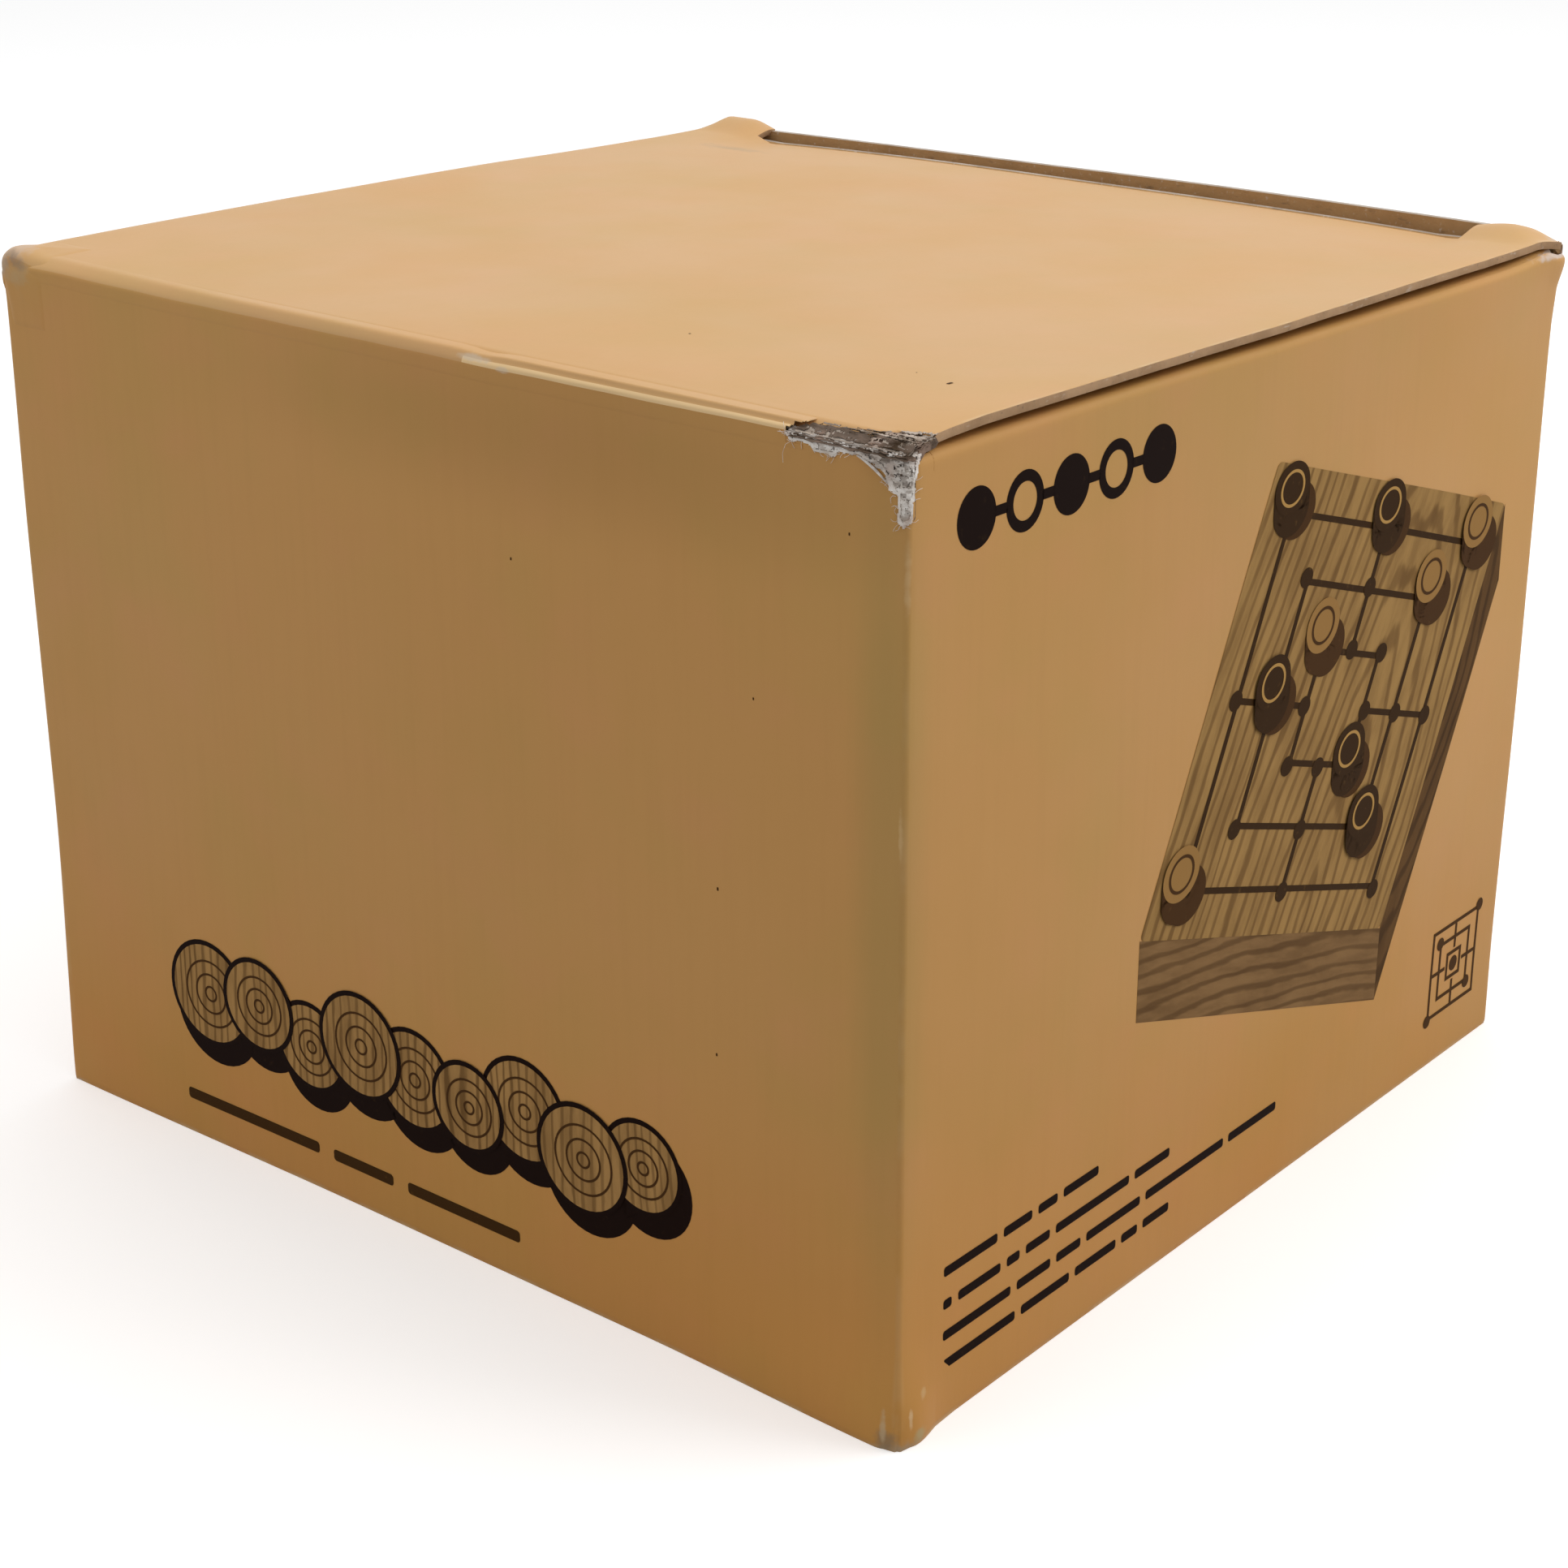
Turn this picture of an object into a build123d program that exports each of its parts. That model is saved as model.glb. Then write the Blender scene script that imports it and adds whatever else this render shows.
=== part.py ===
from build123d import *
import math
import os

os.makedirs("parts", exist_ok=True)

# Tuck-end folding carton with a wooden peg-and-ball game packed inside.
# Origin: centre of the carton's footprint on the surface it stands on. +Z up.
# -Y is the printed front, -X the side that carries the lid's crease.

# ---- carton, outside sizes (mm) ----
carton_x = 146.0            # across, from the lid's crease to the tuck side
carton_y = 150.0            # along the lid's crease
carton_z = 120.0            # up to the lid's upper face
board = 1.0                 # solid board, grey inside, printed outside
corner_fold = 0.9           # outside radius of the upright folds
crease_gap = 0.15           # bared crease between a wall's rolled end and its flap

# ---- lid and tuck flap ----
lid_inset = 0.4             # lid's cut sides lie this far inside the front and back walls
lid_over_dust = 0.3         # air between the lid and the dust flaps
tuck_depth = 20.0           # how far the tuck flap reaches down
tuck_wall_gap = 2.5         # dark gap beyond the lid's fold
tuck_corner = 11.0          # rounding of the tuck flap's lower corners
ear_width = 10.6            # slit-lock ears left standing at the ends of the fold
ear_slit = 1.0              # slit between an ear and the tuck flap
ear_reach = 0.1             # ears stop this far short of the carton's outer face
ear_bend = 7.0              # length over which an ear rides up
ear_rise = 1.2              # how far its end stands up on the rim
ear_corner = 1.8            # rounded outer corner of an ear
rim_drop = 0.3              # tuck wall's cut rim below the lid's upper face

# ---- dust flaps ----
dust_depth = 45.0
dust_side_gap = 0.5         # to the tuck wall
dust_tuck_gap = 1.2         # to the tuck flap
dust_shoulder = 9.5         # full-width root that the ears press on
dust_shoulder_slope = 2.5
dust_lead = 3.0             # set-back from the lid's crease at the flap's own crease
dust_taper = 0.6            # set-back gained for each mm of depth
dust_far_taper = 6.0        # draw-in of the edge beside the tuck flap
dust_corner = 5.0

# ---- locked bottom ----
seam_y = -4.0               # where the tongue flap meets the slot flap
seam_gap = 1.0
step_run = 4.0              # length of the bend that lifts a flap over its neighbour
tongue_width = 60.0
tongue_reach = 26.0
tongue_corner = 8.0
tongue_play = 1.0           # notch round the tongue
side_flap_depth = 39.0
side_flap_end_gap = 0.5     # to the front and back walls
side_flap_taper = 13.0
side_flap_corner = 6.0
bottom_play = 0.35          # outer flaps to the side flaps' bends

# ---- glued side seam ----
glue_width = 15.0
glue_end_gap = 7.0          # from floor and lid
glue_chamfer = 5.0

# ---- game: block, pegs, balls, rules ----
block_side = 134.0
block_thick = 25.0
block_corner = 8.0
block_edge = 1.2            # chamfer round the upper edge
peg_count = 4               # pegs each way
peg_pitch = 30.0
peg_diameter = 5.0
peg_stand = 80.0            # above the block
peg_seat = 12.0             # depth of the blind holes
peg_fit = 0.05              # radial
peg_tip = 0.8
ball_diameter = 18.0
ball_bore = 5.9
ball_flat = 7.2             # diameter of the flat turned round each bore
ball_sides = 16
ball_bands = 6
balls_on_peg = (3, 2, 2, 2)  # threaded on the first row of pegs, and on the last
leaflet_width = 105.0
leaflet_height = 98.0
leaflet_leaf = 0.6          # one folded half of the sheet
leaflet_slot = 0.3          # between the halves
leaflet_gap = 0.3           # to the back wall

# ---- derived places ----
half_x = carton_x / 2
half_y = carton_y / 2
inner_x = half_x - board
inner_y = half_y - board
lid_axis_x = -half_x + board / 2
lid_axis_z = carton_z - board / 2
flap_start = board / 2 + crease_gap
lid_half = half_y - lid_inset
tuck_axis_x = inner_x - tuck_wall_gap - board / 2
tuck_half = lid_half - ear_width - ear_slit
dust_axis_y = half_y - board / 2
dust_axis_z = carton_z - board - lid_over_dust - board / 2
floor_z = 2 * board
block_top = floor_z + block_thick
peg_start = -peg_pitch * (peg_count - 1) / 2


def save(solid, node):
    """Name one solid and write it."""
    solid.label = node
    export_step(solid, f"parts/{node}.step")


def wall_section(low, high, rolled_low=True, rolled_high=True):
    """Upright section of a wall: rolled to a half round where a flap is creased on."""
    low_line = low + board / 2 if rolled_low else low
    high_line = high - board / 2 if rolled_high else high
    section = Pos(0, (low_line + high_line) / 2) * Rectangle(board, high_line - low_line)
    if rolled_low:
        section += Pos(0, low_line) * Circle(board / 2)
    if rolled_high:
        section += Pos(0, high_line) * Circle(board / 2)
    return section


def side_wall(sign, section):
    """Wall across X; it carries the rounded upright folds of both its corners."""
    plan = Rectangle(board, carton_y)
    outer = plan.vertices().group_by(Axis.X)[-1 if sign > 0 else 0]
    plan = fillet(outer, min(corner_fold, 0.95 * board))
    body = extrude(Plane.XZ * section, carton_y, both=True)
    return Pos(sign * (half_x - board / 2), 0, 0) * (body & extrude(plan, carton_z))


def long_wall(sign, section):
    """Wall across Y, standing between the two side walls."""
    body = extrude(Plane.YZ * section, inner_x, both=True)
    return Pos(0, sign * (half_y - board / 2), 0) * body


def cut_sheet(points, level, rounded=(), radius=0.0):
    """Flat flap of board: an outline in plan, some of its corners rounded."""
    outline = make_face(Polyline(*points, close=True))
    if radius > 0:
        chosen = [
            vertex
            for vertex in outline.vertices()
            if any(abs(vertex.X - x) < 1e-6 and abs(vertex.Y - y) < 1e-6 for x, y in rounded)
        ]
        outline = fillet(chosen, radius)
    return Pos(0, 0, level) * extrude(outline, board)


def stepped_section(start, end):
    """Section of a flap that leaves its crease on the floor and climbs one board."""
    bend = start + step_run
    return make_face(
        Polyline(
            (start, 0),
            (bend, board),
            (end, board),
            (end, 2 * board),
            (bend, 2 * board),
            (start, board),
            close=True,
        )
    )


# ---- walls ----
closed_section = wall_section(0, carton_z)
wall_left = side_wall(-1, closed_section)
save(wall_left, "wall_left")

rim_section = wall_section(0, carton_z - rim_drop, rolled_high=False)
wall_right = side_wall(1, rim_section)
save(wall_right, "wall_right")

dust_section = wall_section(0, dust_axis_z + board / 2)
wall_front = long_wall(-1, dust_section)
save(wall_front, "wall_front")
wall_back = long_wall(1, dust_section)
save(wall_back, "wall_back")

# The side seam's flap, glued inside the back wall beside the lid's crease.
glue_low = floor_z + glue_end_gap
glue_high = carton_z - board - glue_end_gap
glue_outline = make_face(
    Polyline(
        (-inner_x, glue_low),
        (-inner_x + glue_width, glue_low + glue_chamfer),
        (-inner_x + glue_width, glue_high - glue_chamfer),
        (-inner_x, glue_high),
        close=True,
    )
)
glue_flap = Pos(0, inner_y, 0) * extrude(Plane.XZ * glue_outline, board)
save(glue_flap, "glue_flap")

# ---- lid ----
lid_low_x = lid_axis_x + flap_start
lid_high_x = tuck_axis_x - flap_start
ear_end_x = half_x - ear_reach
ear_start_x = ear_end_x - ear_bend
lid_panel = cut_sheet(
    [
        (lid_low_x, -lid_half),
        (ear_start_x, -lid_half),
        (ear_start_x, -tuck_half - ear_slit),
        (lid_high_x, -tuck_half - ear_slit),
        (lid_high_x, tuck_half + ear_slit),
        (ear_start_x, tuck_half + ear_slit),
        (ear_start_x, lid_half),
        (lid_low_x, lid_half),
    ],
    carton_z - board,
)
ear_section = make_face(
    Polyline(
        (ear_start_x, carton_z - board),
        (ear_end_x, carton_z - board + ear_rise),
        (ear_end_x, carton_z + ear_rise),
        (ear_start_x, carton_z),
        close=True,
    )
)
for sign in (-1, 1):
    middle = sign * (lid_half - ear_width / 2)
    strip = Rectangle(2 * ear_bend, ear_width)
    outer = strip.vertices().group_by(Axis.X)[-1].sort_by(Axis.Y)[0 if sign < 0 else -1]
    strip = Pos(ear_end_x - ear_bend, middle) * fillet([outer], ear_corner)
    ear = Pos(0, middle + ear_width / 2, 0) * extrude(Plane.XZ * ear_section, ear_width)
    lid_panel += ear & extrude(strip, carton_z + 2 * ear_rise)
save(lid_panel, "lid_panel")

tuck_outline = make_face(
    Polyline(
        (-tuck_half, 0),
        (-tuck_half, -tuck_depth),
        (tuck_half, -tuck_depth),
        (tuck_half, 0),
        close=True,
    )
)
tuck_outline = fillet(tuck_outline.vertices().group_by(Axis.Y)[0], tuck_corner)
tuck_flap = extrude(Plane.YZ * tuck_outline, board / 2, both=True)
tuck_flap += extrude(Plane.XZ * Circle(board / 2), tuck_half, both=True)
save(Pos(tuck_axis_x, 0, lid_axis_z) * tuck_flap, "tuck_flap")


# ---- dust flaps ----
def dust_flap(sign):
    """Flap under the lid. Its crease side is cut back so that it can rise with the lid."""
    tuck_edge = tuck_axis_x - board / 2 - dust_tuck_gap
    wall_edge = inner_x - dust_side_gap

    def back_edge(depth):
        return lid_axis_x + dust_lead + dust_taper * depth

    steps = [
        (back_edge(flap_start), flap_start),
        (wall_edge, flap_start),
        (wall_edge, dust_shoulder),
        (tuck_edge, dust_shoulder + dust_shoulder_slope),
        (tuck_edge - dust_far_taper, dust_depth),
        (back_edge(dust_depth), dust_depth),
    ]
    points = [(x, sign * (dust_axis_y - depth)) for x, depth in steps]
    return cut_sheet(points, dust_axis_z - board / 2, points[-2:], dust_corner)


save(dust_flap(-1), "dust_flap_front")
save(dust_flap(1), "dust_flap_back")

# ---- bottom: two side flaps, a notched flap and a tongue that locks over it ----
outer_half = half_x - board / 2 - flap_start - step_run - bottom_play
crease_y = half_y - board / 2 - flap_start
tongue_half = tongue_width / 2
tongue_root = seam_y - seam_gap / 2
notch_end = tongue_root + step_run + tongue_play
slot_edge = seam_y + seam_gap / 2

bottom_tongue = cut_sheet(
    [
        (-outer_half, -crease_y),
        (outer_half, -crease_y),
        (outer_half, tongue_root),
        (-outer_half, tongue_root),
    ],
    0,
)
tongue_tip = tongue_root + tongue_reach
tongue_plan = Pos(0, tongue_root + tongue_reach / 2) * Rectangle(tongue_width, tongue_reach)
tongue_plan = fillet(tongue_plan.vertices().group_by(Axis.Y)[-1], tongue_corner)
tongue = extrude(Plane.YZ * stepped_section(tongue_root, tongue_tip), tongue_half, both=True)
bottom_tongue += tongue & extrude(tongue_plan, floor_z)
save(bottom_tongue, "bottom_tongue_flap")

bottom_slot = cut_sheet(
    [
        (-outer_half, crease_y),
        (-outer_half, slot_edge),
        (-tongue_half - tongue_play, slot_edge),
        (-tongue_half - tongue_play, notch_end),
        (tongue_half + tongue_play, notch_end),
        (tongue_half + tongue_play, slot_edge),
        (outer_half, slot_edge),
        (outer_half, crease_y),
    ],
    0,
)
save(bottom_slot, "bottom_slot_flap")

side_root = half_x - board / 2 - flap_start
side_length = inner_y - side_flap_end_gap
side_plan = make_face(
    Polyline(
        (0, -side_length),
        (step_run, -side_length),
        (side_flap_depth, -side_length + side_flap_taper),
        (side_flap_depth, side_length - side_flap_taper),
        (step_run, side_length),
        (0, side_length),
        close=True,
    )
)
side_plan = fillet(side_plan.vertices().group_by(Axis.X)[-1], side_flap_corner)
side_flap = extrude(Plane.XZ * stepped_section(0, side_flap_depth), side_length, both=True)
side_flap &= extrude(side_plan, floor_z)
save(Pos(-side_root, 0, 0) * side_flap, "bottom_side_flap_left")
save(Pos(side_root, 0, 0) * Rot(0, 0, 180) * side_flap, "bottom_side_flap_right")

# ---- game block with blind peg holes ----
peg_places = [
    (peg_start + column * peg_pitch, peg_start + row * peg_pitch)
    for row in range(peg_count)
    for column in range(peg_count)
]
block = extrude(RectangleRounded(block_side, block_side, block_corner), block_thick)
block = chamfer(block.faces().sort_by(Axis.Z)[-1].edges(), block_edge)
holes = [
    Pos(x, y, block_thick - peg_seat)
    * Cylinder(peg_diameter / 2, peg_seat, align=(Align.CENTER, Align.CENTER, Align.MIN))
    for x, y in peg_places
]
block = block - holes
save(Pos(0, 0, floor_z) * block, "game_block")

# ---- pegs ----
peg_length = peg_seat + peg_stand
peg = Cylinder(
    peg_diameter / 2 - peg_fit, peg_length, align=(Align.CENTER, Align.CENTER, Align.MIN)
)
peg = chamfer(peg.faces().sort_by(Axis.Z)[-1].edges(), peg_tip)
for number, (x, y) in enumerate(peg_places, 1):
    save(Pos(x, y, block_top - peg_seat) * peg, f"peg_{number:02d}")

# ---- balls: turned, bored through, with a flat round each end of the bore ----
def ball_ring(radius, height):
    """Corners of one many-sided ring about the bore."""
    turns = [2 * math.pi * side / ball_sides for side in range(ball_sides)]
    return [Vector(radius * math.cos(turn), radius * math.sin(turn), height) for turn in turns]


ball_radius = ball_diameter / 2
bore_radius = ball_bore / 2 / math.cos(math.pi / ball_sides)
flat_angle = math.acos(ball_flat / ball_diameter)
flat_height = ball_radius * math.sin(flat_angle)
band_angles = [flat_angle * (2 * band / ball_bands - 1) for band in range(ball_bands + 1)]
rings = [ball_ring(ball_radius * math.cos(a), ball_radius * math.sin(a)) for a in band_angles]
rings += [ball_ring(bore_radius, flat_height), ball_ring(bore_radius, -flat_height)]
facets = []
for lower, upper in zip(rings, rings[1:] + rings[:1]):
    for side in range(ball_sides):
        after = (side + 1) % ball_sides
        corners = [lower[side], lower[after], upper[after], upper[side]]
        facets.append(Face(Wire.make_polygon(corners, close=True)))
ball = Solid(Shell(facets))

for colour, row in (("light", 0), ("dark", peg_count - 1)):
    number = 0
    for column, count in enumerate(balls_on_peg):
        for layer in range(count):
            number += 1
            x = peg_start + column * peg_pitch
            y = peg_start + row * peg_pitch
            z = block_top + flat_height * (1 + 2 * layer)
            save(Pos(x, y, z) * ball, f"ball_{colour}_{number}")

# ---- rules leaflet, folded once, standing against the back wall ----
leaflet_thick = 2 * leaflet_leaf + leaflet_slot
upright = (Align.CENTER, Align.MIN, Align.MIN)
leaflet = Box(leaflet_width, leaflet_thick, leaflet_height, align=upright)
fold_edges = leaflet.edges().filter_by(Axis.X).group_by(Axis.Z)[0]
leaflet = fillet(fold_edges, leaflet_leaf)
slot = Box(2 * leaflet_width, leaflet_slot, leaflet_height, align=upright)
leaflet -= Pos(0, leaflet_leaf, leaflet_leaf) * slot
save(Pos(0, inner_y - leaflet_gap - leaflet_thick, floor_z) * leaflet, "rules_leaflet")
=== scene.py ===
"""Looks for a worn tuck-end game carton: board, print, torn corners and the wooden game inside."""

import math

import bmesh
import bpy
from bpy.props import FloatProperty, FloatVectorProperty, IntProperty, PointerProperty
from mathutils import Matrix, Vector, noise


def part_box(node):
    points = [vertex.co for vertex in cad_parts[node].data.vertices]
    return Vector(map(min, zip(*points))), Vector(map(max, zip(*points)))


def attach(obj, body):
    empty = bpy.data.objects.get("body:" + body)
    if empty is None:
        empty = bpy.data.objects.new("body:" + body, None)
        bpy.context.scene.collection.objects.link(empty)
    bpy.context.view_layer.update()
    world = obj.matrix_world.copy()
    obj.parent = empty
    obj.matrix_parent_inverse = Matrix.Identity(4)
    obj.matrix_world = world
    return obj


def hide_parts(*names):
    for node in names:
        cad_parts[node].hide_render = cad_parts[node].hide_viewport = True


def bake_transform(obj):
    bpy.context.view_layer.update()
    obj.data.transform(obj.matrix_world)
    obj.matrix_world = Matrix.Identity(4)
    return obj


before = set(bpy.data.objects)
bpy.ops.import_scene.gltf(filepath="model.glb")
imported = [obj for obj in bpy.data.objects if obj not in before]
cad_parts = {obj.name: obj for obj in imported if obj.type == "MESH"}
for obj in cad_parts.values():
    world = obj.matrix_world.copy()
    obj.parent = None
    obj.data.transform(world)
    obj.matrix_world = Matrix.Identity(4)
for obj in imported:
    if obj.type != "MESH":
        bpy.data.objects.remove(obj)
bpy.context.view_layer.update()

bl_info = {
    "name": "Worn Game Carton",
    "version": (1, 0, 0),
    "blender": (4, 5, 0),
    "location": "View3D > Sidebar > Game Carton",
    "description": "Dresses a folding game carton in printed board, wear and a wooden game",
    "category": "Object",
}

MM = 0.001

LEFT_LOW, LEFT_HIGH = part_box("wall_left")
LID_LOW, LID_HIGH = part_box("lid_panel")
TUCK_LOW, TUCK_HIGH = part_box("tuck_flap")
HALF_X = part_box("wall_right")[1].x
HALF_Y = LEFT_HIGH.y
TOP = LEFT_HIGH.z
BOARD = LEFT_HIGH.x - LEFT_LOW.x
DUST_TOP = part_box("wall_front")[1].z
RIM_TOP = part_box("wall_right")[1].z
EAR_IN = TUCK_HIGH.y + 1 * MM

# How the old box has settled, in mm: (x, rise) of the lid and of the walls' tops, at the front and at the rear.
LID_FRONT = (
    (-73, 0), (-70, 0.35), (-64, 0.7), (-58, 0.7), (-40, 0.35), (-20, 0.1), (0, -0.3), (20, -0.5), (40, -0.7),
    (55, -0.9), (73, -1.0),
)
LID_REAR = ((-73, 1.0), (-68, 1.2), (-50, 1.2), (-25, 1.1), (15, 0.6), (40, 0), (60, -0.4), (73, -0.4))
WALL_FRONT = (
    (-73, 0), (-60, -0.1), (-40, -0.4), (-20, -0.75), (0, -1.25), (20, -1.55), (40, -1.75), (62, -1.8),
    (68, -1.3), (73, -0.4),
)
WALL_REAR = ((-73, 0), (-25, 0.5), (15, 0.2), (40, -0.3), (73, -0.1))

# The lid's crease from the near corner to the rear, in mm: (y, height of its outer edge), and (y, reach on to
# the lid).
CREASE_LOW = ((-73, 119.3), (-20, 119.25), (0, 119.45), (27, 119.53), (50, 119.7), (62, 120.0), (73, 119.9))
CREASE_IN = ((-73, 0.5), (-30, 0.45), (0, 0.7), (30, 0.8), (50, 1.4), (73, 2.0))

# Torn print at the near corner, in mm: (along the wall from the fold, down from the top).
WALL_TEAR = (
    (14.2, -1.0), (15.5, -0.2), (16.4, 0.5), (16.0, 1.2), (15.4, 1.8), (13.2, 1.6), (12.2, 2.3), (11.1, 2.3),
    (9.8, 2.5), (9.0, 1.9), (6.4, 1.9), (5.2, 2.2), (4.2, 2.5), (3.1, 3.0), (2.6, 4.0), (2.5, 4.8), (1.4, 5.2),
    (1.15, 6.5), (1.3, 8.2), (0.6, 8.7), (-0.35, 8.0), (-0.55, 6.8), (-0.75, 4.2), (-1.2, 2.4), (-1.6, 1.0),
    (-1.7, -1.0),
)
# The same on the lid: (along the crease from its near end, in from the crease).
LID_TEAR = (
    (16.2, -2.0), (15.6, -0.5), (14.6, 0.3), (13.3, 1.0), (12.0, 1.3), (10.2, 1.5), (8.0, 2.0), (6.2, 2.1),
    (4.9, 2.6), (4.2, 3.4), (2.6, 3.8), (1.6, 4.4), (0.6, 4.6), (-1.0, 4.6), (-1.0, -2.0),
)
# Corners pushed out: (x side, y side, height), then in mm the reach up the fold and along the walls, and how far
# out in x and y.
FLARED = (
    ((-1, 1, 120.0), 5, 10, 0.1, 0.15),
    ((1, -1, 118.4), 5, 9, 0.6, 0.5),
)

LID_TEAR_SEED = 9  # the lid's tear is ragged in another way than the wall's
DUST_FOLD = 1.1 * MM  # outside radius of the fold from a wall to its dust flap
SKIN = 0.6 * MM  # a point this near a wall's plane lies on that wall
PRINT_SKIN = 0.1 * MM  # thickness of the printed ply that bends over a crease


class CartonSizes(bpy.types.PropertyGroup):
    fold_radius: FloatProperty(
        name="Upright fold", description="Outside radius of the upright folds", default=1.3 * MM, unit="LENGTH"
    )
    grid_step: FloatProperty(
        name="Grid step", description="Spacing of the mesh lines on the walls", default=4 * MM, unit="LENGTH"
    )
    wall_bow: FloatProperty(
        name="Wall bow", description="How far the walls bulge in the middle", default=0.35 * MM, unit="LENGTH"
    )
    print_lift: FloatProperty(
        name="Ink height", description="Height of one printed layer over the board", default=0.03 * MM, unit="LENGTH"
    )
    near_ear_lift: FloatProperty(
        name="Front ear lift", description="How far the lid's front ear rides up", default=1.3 * MM, unit="LENGTH"
    )
    far_ear_lift: FloatProperty(
        name="Rear ear lift", description="How far the lid's rear ear rides up", default=1.55 * MM, unit="LENGTH"
    )
    ply_step: FloatProperty(
        name="Tear mesh", description="Spacing of the mesh lines in the torn plies", default=0.13 * MM, unit="LENGTH"
    )
    ball_segments: IntProperty(name="Ball segments", description="Sides of a turned ball", default=48)


class CartonColours(bpy.types.PropertyGroup):
    ochre: FloatVectorProperty(
        name="Ochre print", description="Printed outside of the board", subtype="COLOR", default=(0.62, 0.33, 0.11)
    )


# ---------------------------------------------------------------- small helpers
def linear(code):
    """sRGB hex to a linear colour with alpha."""
    values = [int(code[i : i + 2], 16) / 255 for i in (1, 3, 5)]
    return tuple(c / 12.92 if c <= 0.04045 else ((c + 0.055) / 1.055) ** 2.4 for c in values) + (1.0,)


def deselect_all():
    if bpy.context.object and bpy.context.object.mode != "OBJECT":
        bpy.ops.object.mode_set(mode="OBJECT")
    bpy.ops.object.select_all(action="DESELECT")


def activate(piece):
    deselect_all()
    piece.select_set(True)
    bpy.context.view_layer.objects.active = piece


def named(name):
    piece = bpy.context.object
    piece.name = name
    piece.data.name = name
    return piece


def edit(piece):
    activate(piece)
    bpy.ops.object.mode_set(mode="EDIT")
    bpy.ops.mesh.select_all(action="SELECT")


def finish_edit():
    bpy.ops.object.mode_set(mode="OBJECT")


def put(name, data):
    """A new object in the scene for a mesh or a curve."""
    piece = bpy.data.objects.new(name, data)
    bpy.context.scene.collection.objects.link(piece)
    return piece


def joined(name, parts):
    activate(parts[0])
    for part in parts:
        part.select_set(True)
    bpy.ops.object.join()
    return named(name)


def turn_over(piece):
    edit(piece)
    bpy.ops.mesh.flip_normals()
    finish_edit()


def pick(piece, kind, test):
    """In edit mode: select the vertices, edges or faces whose middle passes the test."""
    bpy.ops.mesh.select_mode(type={"verts": "VERT", "edges": "EDGE", "faces": "FACE"}[kind])
    bpy.ops.mesh.select_all(action="DESELECT")
    mesh = bmesh.from_edit_mesh(piece.data)
    for part in getattr(mesh, kind):
        corners = [part] if kind == "verts" else part.verts
        middle = sum((corner.co for corner in corners), Vector()) / len(corners)
        if test(middle):
            part.select_set(True)
    mesh.select_flush_mode()
    bmesh.update_edit_mesh(piece.data)


def cut_away(piece, test):
    """Delete the faces whose middle passes the test."""
    edit(piece)
    pick(piece, "faces", test)
    bpy.ops.mesh.delete(type="FACE")
    finish_edit()


def cut_lines(axis, places):
    """Bisect the whole mesh at each place along one axis."""
    direction = [0.0, 0.0, 0.0]
    direction[axis] = 1.0
    for place in places:
        point = [0.0, 0.0, 0.0]
        point[axis] = place
        bpy.ops.mesh.select_all(action="SELECT")
        bpy.ops.mesh.bisect(plane_co=point, plane_no=direction)


def spaced(low, high, step):
    """Places between low and high, about a step apart."""
    count = max(1, round((high - low) / step))
    return [low + (high - low) * i / count for i in range(1, count)]


def modify(piece, kind, **settings):
    """Add a modifier with its settings and apply it."""
    activate(piece)
    modifier = piece.modifiers.new(kind.title(), kind)
    for key, value in settings.items():
        setattr(modifier, key, value)
    bpy.ops.object.modifier_apply(modifier=modifier.name)
    return piece


def thicken(piece, thickness):
    """Give a sheet its thickness inwards: printed outside, grey inside, cut rim."""
    return modify(
        piece, "SOLIDIFY", thickness=thickness, offset=-1, use_even_offset=False, material_offset=1,
        material_offset_rim=2,
    )


def smooth(piece, angle=35):
    activate(piece)
    bpy.ops.object.shade_smooth_by_angle(angle=math.radians(angle))
    return piece


def give(piece, *materials):
    piece.data.materials.clear()
    for material in materials:
        piece.data.materials.append(material)
    return piece


def ramp(value, low, high):
    """Smooth step from 0 at low to 1 at high."""
    t = min(1.0, max(0.0, (value - low) / (high - low)))
    return t * t * (3 - 2 * t)


def rough(point, size, seed=0.0):
    """Signed noise whose features are about size across."""
    return noise.noise(Vector(point) / size + Vector((seed, seed * 1.7, seed * 2.3)))


def flat_grid(name, width, length, step):
    """A flat sheet in XY, centred, with mesh lines a step apart."""
    deselect_all()
    bpy.ops.mesh.primitive_grid_add(
        x_subdivisions=max(2, round(width / step)), y_subdivisions=max(2, round(length / step)), size=1
    )
    piece = named(name)
    piece.scale = (width, length, 1)
    bpy.ops.object.transform_apply(location=True, rotation=True, scale=True)
    return piece


def sides_of_board(piece, outward):
    """Printed slot on the outer side, grey slot on the inner side, cut edge elsewhere."""
    outward = Vector(outward)
    for face in piece.data.polygons:
        facing = face.normal.dot(outward)
        face.material_index = 0 if facing > 0.6 else 1 if facing < -0.6 else 2


def node_copy(node, name):
    """A piece that starts as the CAD node's own shape, welded."""
    piece = put(name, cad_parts[node].data.copy())
    piece.data.name = name
    edit(piece)
    bpy.ops.mesh.remove_doubles(threshold=0.001 * MM)
    bpy.ops.mesh.dissolve_limited(angle_limit=math.radians(1))
    finish_edit()
    return piece


# ---------------------------------------------------------------- how the old box sits
def from_table(rows, place):
    """Softened reading of an (at, value) table in mm."""
    total = 0.0
    for shift in (-4, -2, 0, 2, 4):
        at = place / MM + shift
        value = rows[0][1] if at < rows[0][0] else rows[-1][1]
        for (a, first), (b, second) in zip(rows, rows[1:]):
            if a <= at < b:
                value = first + (second - first) * (at - a) / (b - a)
        total += value
    return total / 5 * MM


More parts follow.
